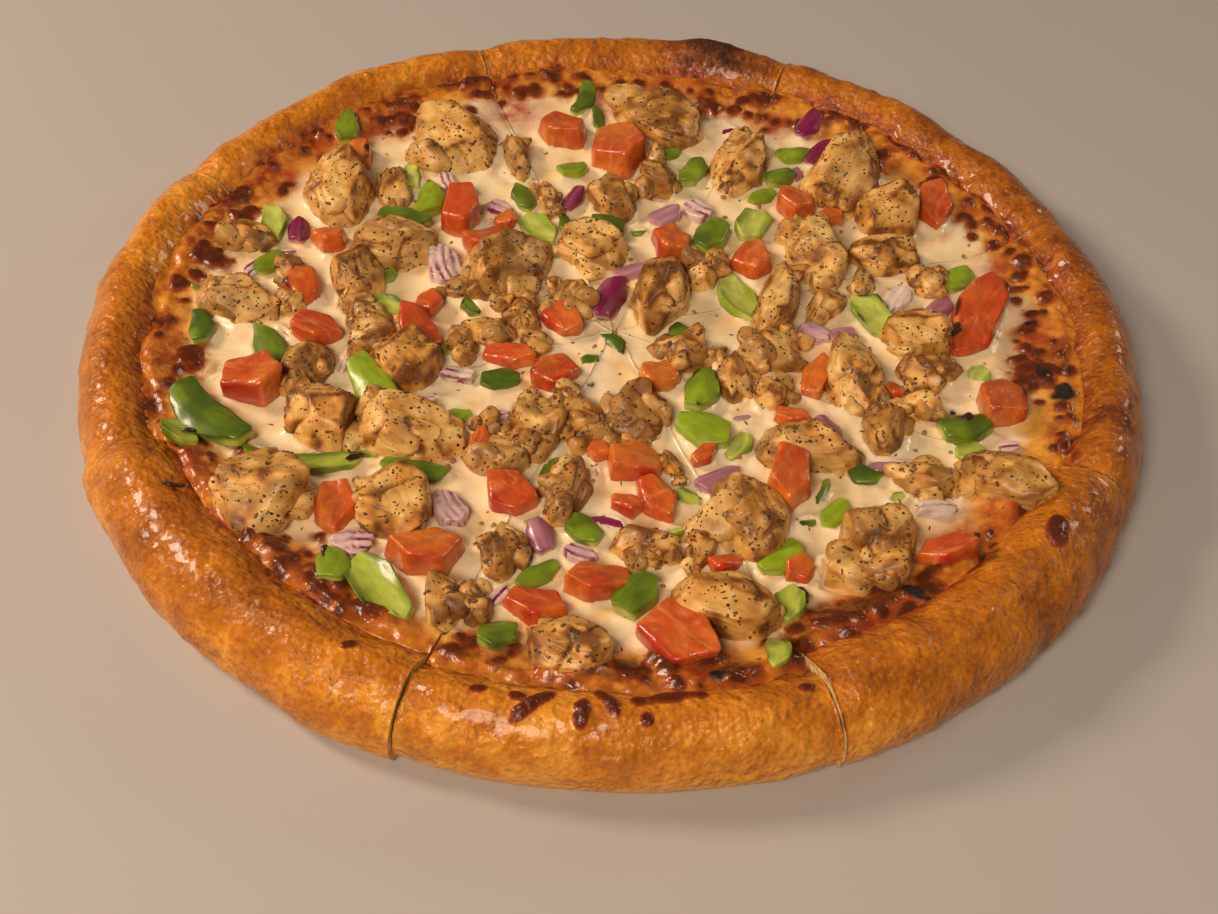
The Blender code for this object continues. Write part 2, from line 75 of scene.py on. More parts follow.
# The slices, as in the solids: start of each in degrees, radius, crest and rim width in mm
SLICES = (
    (22, 157.6, 22.6, 21.0), (68, 157.2, 22.0, 21.0), (111, 157.0, 22.2, 20.0), (157, 158.0, 22.8, 20.0),
    (206, 159.2, 23.4, 25.0), (252, 157.2, 22.6, 21.0), (293, 158.4, 23.8, 26.0), (337, 157.8, 23.0, 20.0),
)
BASE_HEIGHT = 8.5
CHEESE_THICKNESS = 4.3
EDGE_DROP = 5.2
EDGE_WAVE_DRAW = 5.5
SLOPE_WIDTH = 22.0
MEAN_CREST = 22.8
LEVEL_SHARE = 0.4
LUMP_RAMP = 26.0
RIM_LUMP = 1.3
CUT_GAP = 0.8
CUT_DIP = 1.8
CUT_NOTCH = 1.0
CUT_REACH = 5.0
CUT_CLOSED = 1.8
# The burnt hump of the rim at the back, with its height in mm
HUMP_DIRECTION = math.radians(78)
HUMP_REACH = math.radians(6)
HUMP_COLOUR_REACH = math.radians(9)
HUMP_HEIGHT = 3.6

# Toppings, in mm: x, y, length, width, turn in degrees, height
CHICKEN = (
    (-57, 90, 34, 30, 120, 10), (-92, 57, 31, 23, 108, 11), (-72, 33, 30, 19, 175, 11),
    (-81, 17, 25, 17, 100, 10), (-35, 23, 36, 24, 55, 12), (-8, 36, 24, 19, 165, 11),
    (-114, 3, 28, 20, 150, 8), (11, 110, 40, 25, 135, 9), (39, 84, 34, 18, 75, 11),
    (73, 81, 35, 25, 70, 13), (87, 62, 27, 20, 70, 11), (63, 40, 34, 20, 100, 11),
    (84, 40, 22, 18, 170, 10), (14, 17, 36, 17, 80, 12), (50, 15, 30, 14, 70, 11),
    (93, 3, 25, 17, 160, 11), (-61, -22, 25, 20, 130, 11), (-81, -46, 28, 21, 100, 11),
    (-56, -50, 31, 21, 175, 12), (-93, -77, 28, 25, 10, 12), (-57, -78, 26, 22, 120, 12),
    (-7, -123, 24, 20, 150, 10), (71, -16, 33, 16, 95, 12), (56, -48, 33, 18, 175, 11),
    (111, -59, 28, 18, 145, 10), (39, -76, 31, 21, 105, 12), (73, -82, 27, 20, 110, 11),
    (32, -107, 28, 21, 165, 12),
)
TOMATO = (
    (-3, 91, 31, 23, 95, 8), (111, 12, 35, 17, 65, 7), (-46, -95, 24, 16, 10, 8),
    (21, -119, 26, 17, 135, 7), (-52, 51, 26, 15, 100, 9), (-22, 100, 24, 18, 115, 7),
    (-104, -34, 19, 17, 165, 9), (51, -62, 22, 14, 80, 9), (114, -26, 20, 15, 80, 7),
)
PEPPER = (
    (-113, -49, 34, 14, 138, 6), (-69, -31, 27, 13, 125, 6), (-57, -108, 28, 13, 130, 7),
    (79, 12, 21, 11, 115, 6), (38, 16, 25, 11, 115, 5),
)
ONION = ((-2, 13, 21, 11, 75, 6), (-54, 23, 18, 14, 110, 5))

# Smaller ones, in mm: x, y, length, width, turn in degrees
SMALL_CHICKEN = (
    (-74, 61, 21, 13, 95), (-13, 13, 18, 11, 110), (-2, 62, 26, 16, 110), (-117, 33, 20, 11, 170),
    (-101, 18, 15, 12, 120), (-79, 5, 13, 10, 60), (-28, 3, 15, 12, 100), (-36, 84, 28, 9, 107),
    (11, 77, 27, 13, 100), (98, 28, 15, 11, 60), (27, 28, 19, 11, 70), (65, 15, 18, 10, 45),
    (92, -12, 18, 16, 10), (-89, -25, 23, 16, 80), (-72, -6, 19, 15, 170), (-29, -57, 19, 15, 150),
    (-21, -42, 25, 15, 110), (-9, -38, 13, 10, 60), (-39, -5, 17, 10, 170), (-27, -93, 19, 12, 100),
    (-40, -111, 23, 11, 95), (-32, -111, 17, 8, 95), (-10, -69, 24, 13, 75), (22, -11, 18, 14, 140),
    (35, -20, 22, 12, 100), (47, -8, 21, 16, 170), (47, -27, 13, 12, 30), (79, -38, 23, 14, 85),
    (90, -28, 15, 13, 40), (90, -58, 22, 14, 165), (11, -87, 21, 14, 165), (26, -88, 20, 8, 65),
    (7, -39, 22, 19, 120), (-49, 14, 11, 8, 20), (-98, 3, 12, 9, 70), (-24, 60, 20, 7, 100),
    (-35, -43, 10, 7, 40), (-22, -8, 9, 7, 10), (-43, -17, 8, 6, 60), (-73, -15, 16, 9, 30),
    (18, -57, 14, 6, 120), (101, 33, 9, 7, 50), (-4, -47, 12, 10, 20), (67, -92, 24, 17, 30),
    (59, 51, 15, 13, 30), (77, 27, 10, 8, 60), (-15, -35, 9, 8, 80), (-24, -50, 9, 7, 20),
    (-30, -49, 8, 7, 130), (-45, -8, 9, 7, 50), (-33, 8, 9, 7, 150), (40, -13, 10, 8, 60),
    (30, -14, 8, 7, 20), (53, -2, 9, 8, 120), (-20, 7, 8, 6, 40),
)
SMALL_TOMATO = (
    (-89, 78, 16, 14, 90), (-92, 34, 14, 13, 170), (-96, 10, 17, 12, 110), (-41, 37, 18, 14, 20),
    (-16, 1, 16, 11, 120), (17, 42, 18, 15, 110), (42, 35, 21, 15, 95), (57, 66, 20, 14, 110),
    (68, 59, 12, 9, 40), (103, 66, 22, 13, 85), (-89, -9, 17, 12, 160), (-58, -8, 22, 12, 130),
    (-31, -16, 18, 8, 165), (-17, -23, 16, 13, 30), (-26, -72, 18, 13, 140), (-72, -80, 20, 14, 100),
    (-16, -110, 20, 14, 165), (0, -101, 20, 13, 20), (8, -57, 19, 16, 10), (14, -22, 16, 12, 10),
    (60, -19, 18, 9, 70), (52, -36, 14, 8, 155), (14, -71, 17, 10, 120), (91, -87, 18, 13, 10),
    (52, -94, 10, 9, 30), (-37, 48, 9, 8, 30), (-57, 6, 12, 8, 60), (-36, -54, 12, 8, 80),
    (-3, -53, 8, 7, 10), (6, -73, 11, 8, 150), (27, -53, 9, 6, 40), (33, -92, 11, 5, 20),
    (83, -22, 8, 6, 110),
)
SMALL_PEPPER = (
    (-94, 91, 15, 9, 85), (-70, 72, 16, 7, 100), (-63, 57, 18, 10, 80), (-70, 46, 20, 10, 170),
    (-32, 62, 15, 8, 110), (-26, 46, 18, 10, 130), (-4, 49, 14, 9, 150), (-17, 79, 11, 8, 20),
    (-15, 120, 18, 8, 80), (-111, 40, 19, 9, 100), (-109, 21, 12, 8, 60), (-67, 4, 18, 8, 150),
    (23, 81, 15, 9, 70), (52, 80, 12, 9, 30), (57, 94, 12, 8, 10), (46, 69, 12, 7, 40),
    (43, 54, 16, 12, 70), (29, 46, 17, 11, 65), (107, 31, 13, 9, 50), (20, -2, 10, 8, 100),
    (-119, -58, 14, 10, 130), (-79, -63, 24, 8, 5), (-53, -64, 21, 8, 170), (-102, -19, 23, 10, 105),
    (-123, -11, 14, 8, 100), (-33, -26, 13, 9, 10), (-5, -83, 12, 9, 130), (-17, -99, 15, 7, 40),
    (-70, -102, 13, 10, 100), (-25, -121, 12, 10, 20), (26, -27, 18, 11, 70), (27, -43, 18, 13, 150),
    (37, -47, 13, 7, 70), (102, -36, 18, 12, 10), (72, -56, 12, 7, 150), (63, -72, 12, 8, 50),
    (48, -89, 17, 9, 50), (49, -105, 13, 9, 85), (9, -105, 16, 12, 60), (45, -122, 12, 7, 95),
    (-52, 66, 7, 5, 0), (-18, 50, 10, 5, 100), (-10, 110, 15, 5, 100), (-44, 6, 9, 6, 130),
    (-19, 34, 9, 5, 20), (-126, 5, 10, 4, 140), (-71, 19, 7, 5, 60), (22, 113, 9, 5, 80),
    (15, 91, 8, 7, 30), (77, 47, 6, 4, 0), (55, 41, 6, 4, 60), (6, 48, 6, 4, 10),
    (-98, -60, 11, 5, 160), (-71, -58, 14, 5, 5), (-49, -12, 11, 5, 95), (-7, -15, 7, 5, 30),
    (0, -7, 11, 6, 130), (-43, -41, 7, 6, 0), (-27, -49, 5, 4, 0), (-16, -62, 12, 6, 75),
    (-19, -80, 8, 4, 20), (103, -45, 10, 7, 30), (109, -12, 8, 7, 60), (81, -64, 8, 5, 30),
    (60, -64, 11, 4, 70), (55, -75, 7, 4, 20), (22, -68, 10, 6, 150), (19, -81, 7, 5, 40),
)
SMALL_ONION = (
    (-40, 56, 12, 8, 140), (-16, 63, 15, 7, 70), (-102, 38, 13, 8, 95), (63, 109, 13, 9, 60),
    (66, 96, 15, 7, 50), (14, 57, 13, 10, 40), (25, 60, 12, 9, 130), (87, 20, 15, 9, 60),
    (100, 17, 11, 8, 50), (61, 2, 13, 9, 150), (-45, -25, 13, 8, 160), (-42, -78, 16, 11, 120),
    (-66, -92, 12, 10, 10), (-17, -86, 13, 9, 110), (-6, -91, 12, 8, 170), (31, -62, 15, 10, 30),
    (63, -39, 11, 7, 130), (91, -69, 14, 8, 10), (4, 27, 13, 8, 30), (-58, 68, 12, 7, 110),
    (-64, 104, 10, 6, 5), (-105, 28, 8, 3, 20), (-113, 18, 8, 5, 60), (-26, 13, 12, 4, 60),
    (36, 107, 6, 4, 30), (95, 15, 8, 5, 0), (69, 3, 10, 7, 20), (58, 83, 9, 5, 80),
    (-79, -23, 7, 3, 80), (-52, -36, 6, 5, 10), (-32, -41, 8, 5, 30), (-82, -59, 8, 3, 20),
    (1, -79, 10, 5, 165), (-26, -107, 10, 6, 60), (-98, -10, 10, 3, 135), (-3, -60, 8, 3, 100),
    (38, -36, 8, 4, 20), (15, -34, 10, 6, 110), (80, -52, 16, 4, 5), (114, -43, 6, 5, 0),
)
# How fresh some cuts of pepper look, by their x and y: 1 is bright, 0 dark
PEPPER_TONES = {
    (-113, -49): 0.0, (-119, -58): 0.1, (-69, -31): 1.0, (79, 12): 0.9, (43, 54): 1.0, (38, 16): 1.1,
    (-70, 72): 1.2, (46, 69): 1.2, (27, -43): 1.2, (63, -72): 1.2, (-57, -108): 0.1, (-79, -63): 0.5,
    (-53, -64): 0.4, (9, -105): 0.5, (26, -27): 0.5, (72, -56): 0.1, (49, -105): 0.4, (-25, -121): 0.2,
    (48, -89): 0.9, (-32, 62): 0.3, (22, 81): 0.4,
}
# Onions by their x and y: cut across their layers, and single layers of full colour
PALE = ((-42, -78),)
MAGENTA = ((-2, 13), (-16, 63), (66, 96), (63, 109), (-102, 38), (36, 107), (95, 15), (1, -79))
# Greatest height of the smaller ones in mm, and how many corners an outline has
SMALL_HEIGHTS = {"chicken": 8.0, "tomato": 6.0, "pepper": 4.5, "onion": 4.0}
CORNERS = {"chicken": 9, "tomato": 5, "pepper": 6, "onion": 6}

# The seeds of the burnt tips start here; a seed moves a piece this far through the noise, in mm
TIP_SEED = 9000
SEED_STEP = 3.7
# How deep a cut sits in the cheese, in mm
SUNK = 0.9

# Blisters of browned cheese, in mm: x, y, length, width, turn in degrees, height
BLISTERS = (
    (-124, -24, 11, 9, 100, 2.2), (-125, 22, 9, 7, 150, 2.2), (-75, 101, 13, 8, 10, 2.0),
    (28, 122, 11, 8, 130, 2.0), (84, 94, 12, 9, 140, 2.0), (124, -9, 14, 9, 80, 2.2),
    (-72, -104, 12, 8, 160, 2.2), (62, -109, 17, 9, 20, 2.2), (-130, 23, 8, 5, 90, 1.6),
    (-119, 46, 7, 5, 50, 1.5), (-124, 53, 8, 5, 60, 1.5), (-110, 92, 9, 5, 40, 1.4),
    (-88, 110, 8, 5, 30, 1.4), (-80, 109, 6, 5, 10, 1.4), (-84, 98, 7, 5, 60, 1.5),
    (-63, 124, 8, 5, 20, 1.4), (-54, 126, 6, 4, 10, 1.3), (-127, -36, 8, 6, 100, 1.6),
    (-130, -45, 7, 5, 120, 1.5), (-134, -10, 6, 4, 90, 1.3),
)
# Shreds of cheese baked onto the front of the rim, in mm: x, y, length, width, turn in degrees, height
SHREDS = (
    (-14.6, -145.6, 13, 4, 40, 1.3), (-18.3, -143.5, 4.5, 3.2, 0, 1.0), (-2.7, -147.5, 8, 4, 85, 1.3),
    (3.2, -143.9, 10.5, 3.6, -55, 1.2), (10.6, -143.1, 4.2, 4, 0, 1.0), (18.3, -140.8, 14, 5, 20, 1.3),
    (12.9, -148.2, 3.6, 3.4, 0, 0.9), (25.5, -139.1, 5, 3.6, 0, 1.0), (-28.1, -142.1, 5, 3, 20, 0.8),
    (120, -82, 11, 6, 75, 1.6), (-61.0, -131.0, 4.5, 3, 30, 0.8), (52, -135.5, 5, 3, 10, 0.8),
)
# Runs of small blisters, in mm: from x, y to x, y, spread, how many, size and how drawn out
BLISTER_RUNS = (
    (125, -22, 129, 32, 3.5, 26, 4.2, 1.3), (108, 92, 123, 66, 2.0, 14, 4.0, 1.5),
    (112, 68, 104, 86, 2.5, 7, 3.2, 1.4), (-92, -92, -56, -120, 4.0, 32, 4.8, 1.4),
    (-40, -127, 44, -131, 2.6, 30, 4.4, 2.0), (50, -116, 92, -98, 4.5, 30, 4.8, 1.4),
    (-133, -8, -121, 50, 2.5, 14, 4.6, 1.3), (-62, 119, -22, 131, 3.5, 18, 4.2, 1.5),
    (28, 124, 78, 112, 4.0, 20, 4.0, 1.5), (131, -44, 129, -28, 2.5, 9, 3.6, 1.3),
    (-114, 70, -70, 112, 4.0, 20, 4.4, 1.4), (-122, -30, -106, -76, 3.5, 15, 3.8, 1.4),
    (-20, 128, 24, 130, 2.5, 10, 3.4, 1.7), (96, -94, 122, -66, 3.0, 9, 3.2, 1.5),
    (78, 121, 104, 92, 2.2, 14, 3.6, 1.5), (104, 92, 125, 71, 1.6, 18, 4.6, 1.8),
    (120, 68, 130, 28, 3.4, 20, 3.8, 1.4),
)
# Red sauce that shows through the cheese, in mm: x, y, reach
SAUCE = (
    (-103, 83, 8), (-85, 96, 7), (-40, 112, 9), (-112, 65, 7), (-115, -68, 7), (-70, -110, 7), (28, -130, 9),
    (92, -80, 6), (99, -77, 7), (106, -73, 7), (113, -70, 6), (69, -113, 12), (-6, 118, 7), (52, 112, 7),
    (121, 40, 6), (-2, -128, 6), (128, 4, 7), (-100, -94, 7), (80, -104, 6),
)
# How much darker than the rest the rim is coloured: directions in degrees, and the amount. This is partly
# real baking and partly painted light and shade by direction: painted shade on the right, painted light on
# the back left
ROUND_BAKE_AND_SHADE = (
    (0, 45, 85, 125, 165, 190, 225, 265, 300, 360),
    (0.42, 0.34, 0.14, -0.22, -0.16, 0.16, 0.20, -0.08, 0.18, 0.44),
)
# Burnt tips on some cuts, in mm: x, y, length, width, turn in degrees, height above the cheese
BURNT_TIPS = (
    (52.5, -103, 9, 3.4, 95, 1.8), (97.5, -86, 6, 3, 60, 4.2), (102, -33, 5.5, 4, 30, 3.2),
    (102.5, 3, 8, 3.6, 60, 5.0), (118, 27, 5, 2.4, 150, 5.0), (-115, -81, 6.5, 2.4, 10, 0.5),
    (-72, -99, 7, 2.6, 100, 2.8), (-89, -61.5, 5, 2.2, 0, 2.4), (-70, -61, 6, 2.2, 30, 2.4),
    (-116, -58, 5, 2.2, 20, 2.6),
)
# Burnt spots, in mm: x, y, reach
CHAR = (
    (-122, -33, 2.5), (81, -101, 4), (86, -104, 3), (128, -11, 3.4), (133, -20, 5.2), (100, -27, 1.8),
    (98, -84, 2), (-76, -114, 3), (-113, -84, 2.5), (30, -131, 3), (53, -103, 2.2), (118, 76, 2),
    (-119, -60, 1.8), (-6, -24, 1.2), (127, 12, 2), (-90, -101, 1.6), (-97, 97, 1.6),
)


# Colours beside those in the settings
LIGHT_GOLD = (0.80, 0.36, 0.040)
BURNT_BREAD = (0.060, 0.018, 0.005)
SAUCE_STAIN = (0.40, 0.075, 0.012)
SEARED_STAIN = (0.17, 0.028, 0.006)
BROWN_SHRED = (0.27, 0.046, 0.006)
DARK_SHRED = (0.100, 0.016, 0.004)
DEEP_CRUMB = (0.62, 0.38, 0.14)
YELLOW_CHEESE = (0.86, 0.67, 0.36)
ORANGE_OIL = (0.84, 0.46, 0.10)
PINK_CHEESE = (0.80, 0.38, 0.20)
GOLDEN_CHEESE = (0.78, 0.40, 0.075)
BAKED_GOLD = (0.80, 0.38, 0.045)
EDGE_CHEESE = ((0.72, 0.27, 0.022), (0.46, 0.125, 0.010))
SCORCHED_CHEESE = (0.24, 0.040, 0.008)
BLISTER_EDGE = (0.30, 0.060, 0.008)
CHARRED = (0.012, 0.007, 0.005)
STEAMED_MEAT = (0.74, 0.52, 0.22)
SEASONING = (0.31, 0.155, 0.040)
ORANGE_TOMATO = (0.66, 0.20, 0.024)
TOMATO_SKIN = (0.42, 0.022, 0.008)
TOMATO_VEIN = (0.82, 0.36, 0.12)
SCORCHED_TOMATO = (0.05, 0.012, 0.006)
PALE_FLESH = (0.49, 0.56, 0.11)
SCORCHED_PEPPER = (0.02, 0.016, 0.006)
PALE_ONION = (0.78, 0.64, 0.54)
TIP_TONES = ((0.014, 0.009, 0.007), (0.08, 0.030, 0.012))
# Strength of the glossy coat on the bread and on the cheese, which char takes away
BREAD_GLAZE = 0.28
CHEESE_OIL = 0.22

# The stage, in metres: name, place, size, share of the key light's power, and tone of each light
LIGHTS = (
    ("key", (-1.0, 0.25, 0.75), 0.32, 1.10, (1.0, 0.77, 0.58)),
    ("rim", (0.95, 0.60, 0.55), 0.25, 0.22, (1.0, 0.80, 0.62)),
    ("front", (-0.35, -0.92, 0.95), 0.50, 1.38, (1.0, 0.79, 0.61)),
)
ROOM_TONE = (1.0, 0.83, 0.70, 1.0)
ROOM_STRENGTH = 0.11
FLOOR_REACH = 3.0
CAMERA_PLACE = (0.0004, -0.3869, 0.3563)
CAMERA_TARGET = (0.0004, -0.0404, 0.0)
CAMERA_ROLL = math.radians(3.13)


def length(name, description, default):
    """A setting of a length, from its default in millimetres."""
    return bpy.props.FloatProperty(name=name, description=description, default=default * MM, unit="LENGTH")


def colour(name, description, default):
    """A setting of a colour."""
    return bpy.props.FloatVectorProperty(name=name, description=description, default=default, subtype="COLOR")


class BreadSettings(bpy.types.PropertyGroup):
    """Sizes and colours of the bread"""

    grid: length("Grid", "Distance between points of the rim's mesh", 0.85)
    lump: length("Lumps", "Height of the rim's soft lumps", 0.55)
    bubble: length("Bubbles", "Height of the small bubbles under the skin", 0.35)
    golden: colour("Golden", "Skin that is lightly baked", (0.63, 0.215, 0.012))
    toasted: colour("Toasted", "Skin that is well baked", (0.25, 0.064, 0.006))
    crumb: colour("Crumb", "Inside of the bread", (0.74, 0.52, 0.24))


class CheeseSettings(bpy.types.PropertyGroup):
    """Sizes and colours of the cheese"""

    grid: length("Grid", "Distance between points of the cheese's mesh", 0.88)
    fold: length("Folds", "Height of the soft folds", 0.8)
    climb: length("Climb", "How far the cheese climbs up a topping", 1.7)
    blisters: bpy.props.IntProperty(
        name="Blisters", description="Small blisters scattered along the rim", default=70, min=0)
    cream: colour("Cream", "Melted cheese", (0.90, 0.76, 0.51))
    browned: colour("Browned", "Baked cheese by the rim", (0.50, 0.155, 0.014))
    blistered: colour("Blistered", "Tops of the blisters", (0.100, 0.020, 0.004))
    sauce: colour("Sauce", "Sauce that shows through", (0.36, 0.030, 0.008))


class ToppingSettings(bpy.types.PropertyGroup):
    """Sizes and colours of the toppings"""

    fibre: length("Fibres", "Depth of the chicken's grain", 0.45)
    pale: colour("Chicken", "Pale meat", (0.86, 0.565, 0.195))
    grilled: colour("Grilled chicken", "Golden meat", (0.64, 0.30, 0.055))
    seared: colour("Seared chicken", "Browned meat", (0.18, 0.060, 0.010))
    tomato: colour("Tomato", "Tomato flesh", (0.55, 0.080, 0.014))
    skin: colour("Pepper skin", "Outside of the pepper", (0.19, 0.27, 0.010))
    flesh: colour("Pepper flesh", "Inside of the pepper", (0.37, 0.46, 0.05))
    petal: colour("Onion", "Onion flesh", (0.62, 0.37, 0.42))
    magenta: colour("Onion skin", "Purple of the onion's layers", (0.22, 0.012, 0.07))
    flakes: bpy.props.FloatProperty(
        name="Flakes", description="Flakes of herb and pepper on a square metre", default=70000.0, min=0.0)


class StageSettings(bpy.types.PropertyGroup):
    """Floor, light and camera"""

    floor: colour("Floor", "Colour of the floor", (0.46, 0.445, 0.425))
    key: bpy.props.FloatProperty(
        name="Key light", description="Power of the main light in watts", default=9.0, min=0.0)
    lens: bpy.props.FloatProperty(
        name="Lens", description="Focal length of the camera in millimetres", default=50.25, min=10.0)


def smooth(value):
    """Soft step: 0 below 0, 1 above 1, and an S curve between them."""
    value = np.clip(value, 0.0, 1.0)
    return value * value * (3 - 2 * value)


def soft_noise(points, size, seed=0):
    """Smooth noise from -1 to 1, with features a size apart. The size is one number or one for each axis."""
    scaled = points / size + seed * 7.31
    cell = np.floor(scaled)
    part = smooth(scaled - cell)
    cell = cell.astype(np.int64)
    total = np.zeros(len(points))
    for corner in product((0, 1), repeat=3):
        mixed = (cell + corner) @ np.array((73856093, 19349663, 83492791)) + seed * 2654435
        mixed = ((mixed ^ (mixed >> 13)) * 1274126177) & 0xFFFFFFFF
        mixed = ((mixed ^ (mixed >> 15)) * 668265263) & 0xFFFFFFFF
        value = ((mixed >> 12) & 0xFFFF) / 32767.5 - 1
        total += np.prod(np.where(corner, part, 1 - part), axis=1) * value
    return total


def layered_noise(points, size, seed=0, layers=3):
    """Noise with finer noise on it, each layer half as large and half as strong as the last."""
    return sum(soft_noise(points, size / 2 ** k, seed + k) / 2 ** k for k in range(layers))


def wave_table(frequency, place):
    """A wavy line that runs once round the pizza: angles, and its value from -1 to 1 at each."""
    angles = np.linspace(0, 2 * math.pi, 1441)
    heights = [noise.noise(Vector((math.cos(a), math.sin(a), 0)) * frequency + place) for a in angles]
    return angles, np.array(heights)


RIM_WAVE = wave_table(5.5, Vector((0, 0, 0)))
HEIGHT_WAVE = wave_table(7.0, Vector((0, 0, 5)))
EDGE_WAVE = wave_table(7.0, Vector((0, 0, 21)))


def wave(table, angle):
    return np.interp(angle % (2 * math.pi), *table)


def curve_through(rows, spacing):
    """Points a spacing apart on a smooth curve through the rows of radius and height."""
    rows = np.array(rows, float)
    padded = np.vstack([2 * rows[0] - rows[1], rows, 2 * rows[-1] - rows[-2]])
    made = []
    for k in range(1, len(rows)):
        a, b, c, d = padded[k - 1:k + 3]
        steps = max(1, int(round(np.linalg.norm(c - b) / spacing)))
        t = np.arange(steps)[:, None] / steps
        reach = np.linalg.norm(c - b)
        start = (c - a) / max(np.linalg.norm(c - a), 1e-9) * reach
        end = (d - b) / max(np.linalg.norm(d - b), 1e-9) * reach
        made.append((2 * t ** 3 - 3 * t ** 2 + 1) * b + (t ** 3 - 2 * t ** 2 + t) * start
                    + (3 * t ** 2 - 2 * t ** 3) * c + (t ** 3 - t ** 2) * end)
    return np.vstack(made + [rows[-1:]])


def outward(outline):
    """Unit normals of an outline's sides, and how far out each side lies."""
    after = np.roll(outline, -1, axis=0)
    out = np.stack([after[:, 1] - outline[:, 1], outline[:, 0] - after[:, 0]], axis=1)
    out /= np.linalg.norm(out, axis=1)[:, None]
    return out, (outline * out).sum(axis=1)


def columns_of(r, piece, step):
    """How many points a row of a slice has at a radius."""
    return 1 if r < 0.01 else max(3, int(r * piece.width / step) + 1)


class Slice:
    """One of the eight slices, with the same section and lumps as its solids. Works in millimetres."""

    def __init__(self, index):
        start, self.radius, self.crest, self.rim = SLICES[index]
        self.start = math.radians(start)
        self.width = math.radians((SLICES[(index + 1) % len(SLICES)][0] - start) % 360)
        self.edge = self.radius - self.rim
        self.slope_foot = self.edge - SLOPE_WIDTH
        middle = self.start + self.width / 2
        shift = CUT_GAP / 2 / math.sin(self.width / 2)
        self.spread = np.array((math.cos(middle), math.sin(middle))) * shift
        self.top = BASE_HEIGHT + CHEESE_THICKNESS + (self.crest - MEAN_CREST) * LEVEL_SHARE
        edge, crest = self.edge, self.crest
        self.cheese_rows = [
            (0, self.top), (edge - 32, self.top), (edge - 21, self.top + 0.5), (edge - 13, self.top + 1.4),
            (edge - 6, crest - 6.4), (edge - 2, crest - 4.6), (edge + 1, crest - 3.6),
        ]
        self.bread_rows = [
            (edge - 13, BASE_HEIGHT + 0.8), (edge - 5, crest - EDGE_DROP - 4.5),
            (edge + 1, crest - EDGE_DROP),
            (self.radius - self.rim * 0.78, crest - 1.8), (self.radius - self.rim * 0.55, crest),
            (self.radius - self.rim * 0.30, crest - 2), (self.radius - 1.8, 15.5), (self.radius, 9),
            (self.radius - 0.9, 3.5), (self.radius - 2.8, 0.0),
        ]

    def bend(self, r, z, share, bulge=0.0):
        """Places of points on the slice, from their radius, height and share of the slice's angle."""
        angle = self.start + share * self.width
        ramp = smooth((r - self.slope_foot) / LUMP_RAMP)
        level = z / self.crest
        from_cut = r * np.sin(np.minimum(share, 1 - share) * self.width)
        near_cut = np.exp(-((from_cut / CUT_REACH) ** 2)) * ramp * level * level
        r = r + RIM_LUMP * ramp * wave(RIM_WAVE, angle)
        z = z + RIM_LUMP * ramp * level * wave(HEIGHT_WAVE, angle) - CUT_DIP * near_cut
        beside = np.exp(-(((angle - HUMP_DIRECTION) / HUMP_REACH) ** 2))
        across = np.exp(-(((r - self.radius + self.rim * 0.45) / 8) ** 2))
        z = z + HUMP_HEIGHT * beside * across * level
        closed = bulge * (1 + CUT_CLOSED * near_cut)
        inward = CUT_NOTCH * near_cut - closed * np.exp(-((from_cut / 2) ** 2))
        angle = angle + np.sign(0.5 - share) * inward / np.maximum(r, 2.0)
        return np.stack([r * np.cos(angle) + self.spread[0], r * np.sin(angle) + self.spread[1], z], axis=1)

    def height(self, x, y):
        """Height of the smooth cheese, and of the rim beyond it, at places in the slice."""
        x, y = x - self.spread[0], y - self.spread[1]
        r, angle = np.hypot(x, y), np.arctan2(y, x)
        ramp = smooth((r - self.slope_foot) / LUMP_RAMP)
        rows = np.array(self.cheese_rows + self.bread_rows[3:6])
        z = np.interp(r - RIM_LUMP * ramp * wave(RIM_WAVE, angle), rows[:, 0], rows[:, 1])
        return z + RIM_LUMP * ramp * z / self.crest * wave(HEIGHT_WAVE, angle)


PIECES = [Slice(index) for index in range(len(SLICES))]


def slice_nodes(part):
    """Names of the eight nodes of one part of the slices."""
    return [f"{part}_{k + 1}" for k in range(len(SLICES))]


def cheese_height(x, y):
    """Height of the smooth cheese at places anywhere on the pizza."""
    z = np.zeros(len(x))
    angle = np.arctan2(y, x)
    for piece in PIECES:
        inside = (angle - piece.start) % (2 * math.pi) < piece.width
        z[inside] = piece.height(x[inside], y[inside])
    return z


def ellipse_reach(x, y, row):
    """How far places lie out in a row's turned oval: 1 on its edge."""
    cos, sin = math.cos(math.radians(row[4])), math.sin(math.radians(row[4]))
    along, across = (x - row[0]) * cos + (y - row[1]) * sin, (y - row[1]) * cos - (x - row[0]) * sin
    return np.hypot(along / (row[2] / 2), across / (row[3] / 2))


def band(rows, spacing, piece, bulge=0.0):
    """Closed slice from rows of radius and height, with a grid as fine as each row's spacing."""
    points, faces, starts, ends = [], [], [], []
    count, last = 0, None
    for (r, z), step in zip(rows, spacing):
        columns = columns_of(r, piece, step)
        share = np.array([0.5]) if columns == 1 else np.linspace(0, 1, columns)
        points.append(piece.bend(np.full(columns, float(r)), np.full(columns, float(z)), share, bulge))
        row = list(range(count, count + columns))
        count += columns
        if last is not None:
            faces += zip_rows(last, row)
        starts.append(row[0])
        ends.append(row[-1])
        last = row
    faces += zip_rows(last, [starts[0]]) if len(last) > 1 else []
    return np.vstack(points), faces, [starts, ends[::-1]]


def zip_rows(first, second):
    """Triangles between two rows of points, which may differ in number."""
    faces, i, j = [], 0, 0
    a, b = max(len(first) - 1, 1), max(len(second) - 1, 1)
    while i < len(first) - 1 or j < len(second) - 1:
        if j == len(second) - 1 or (i < len(first) - 1 and (i + 1) / a <= (j + 1) / b):
            faces.append((first[i], second[j], first[i + 1]))
            i += 1
        else:
            faces.append((first[i], second[j], second[j + 1]))
            j += 1
    return faces


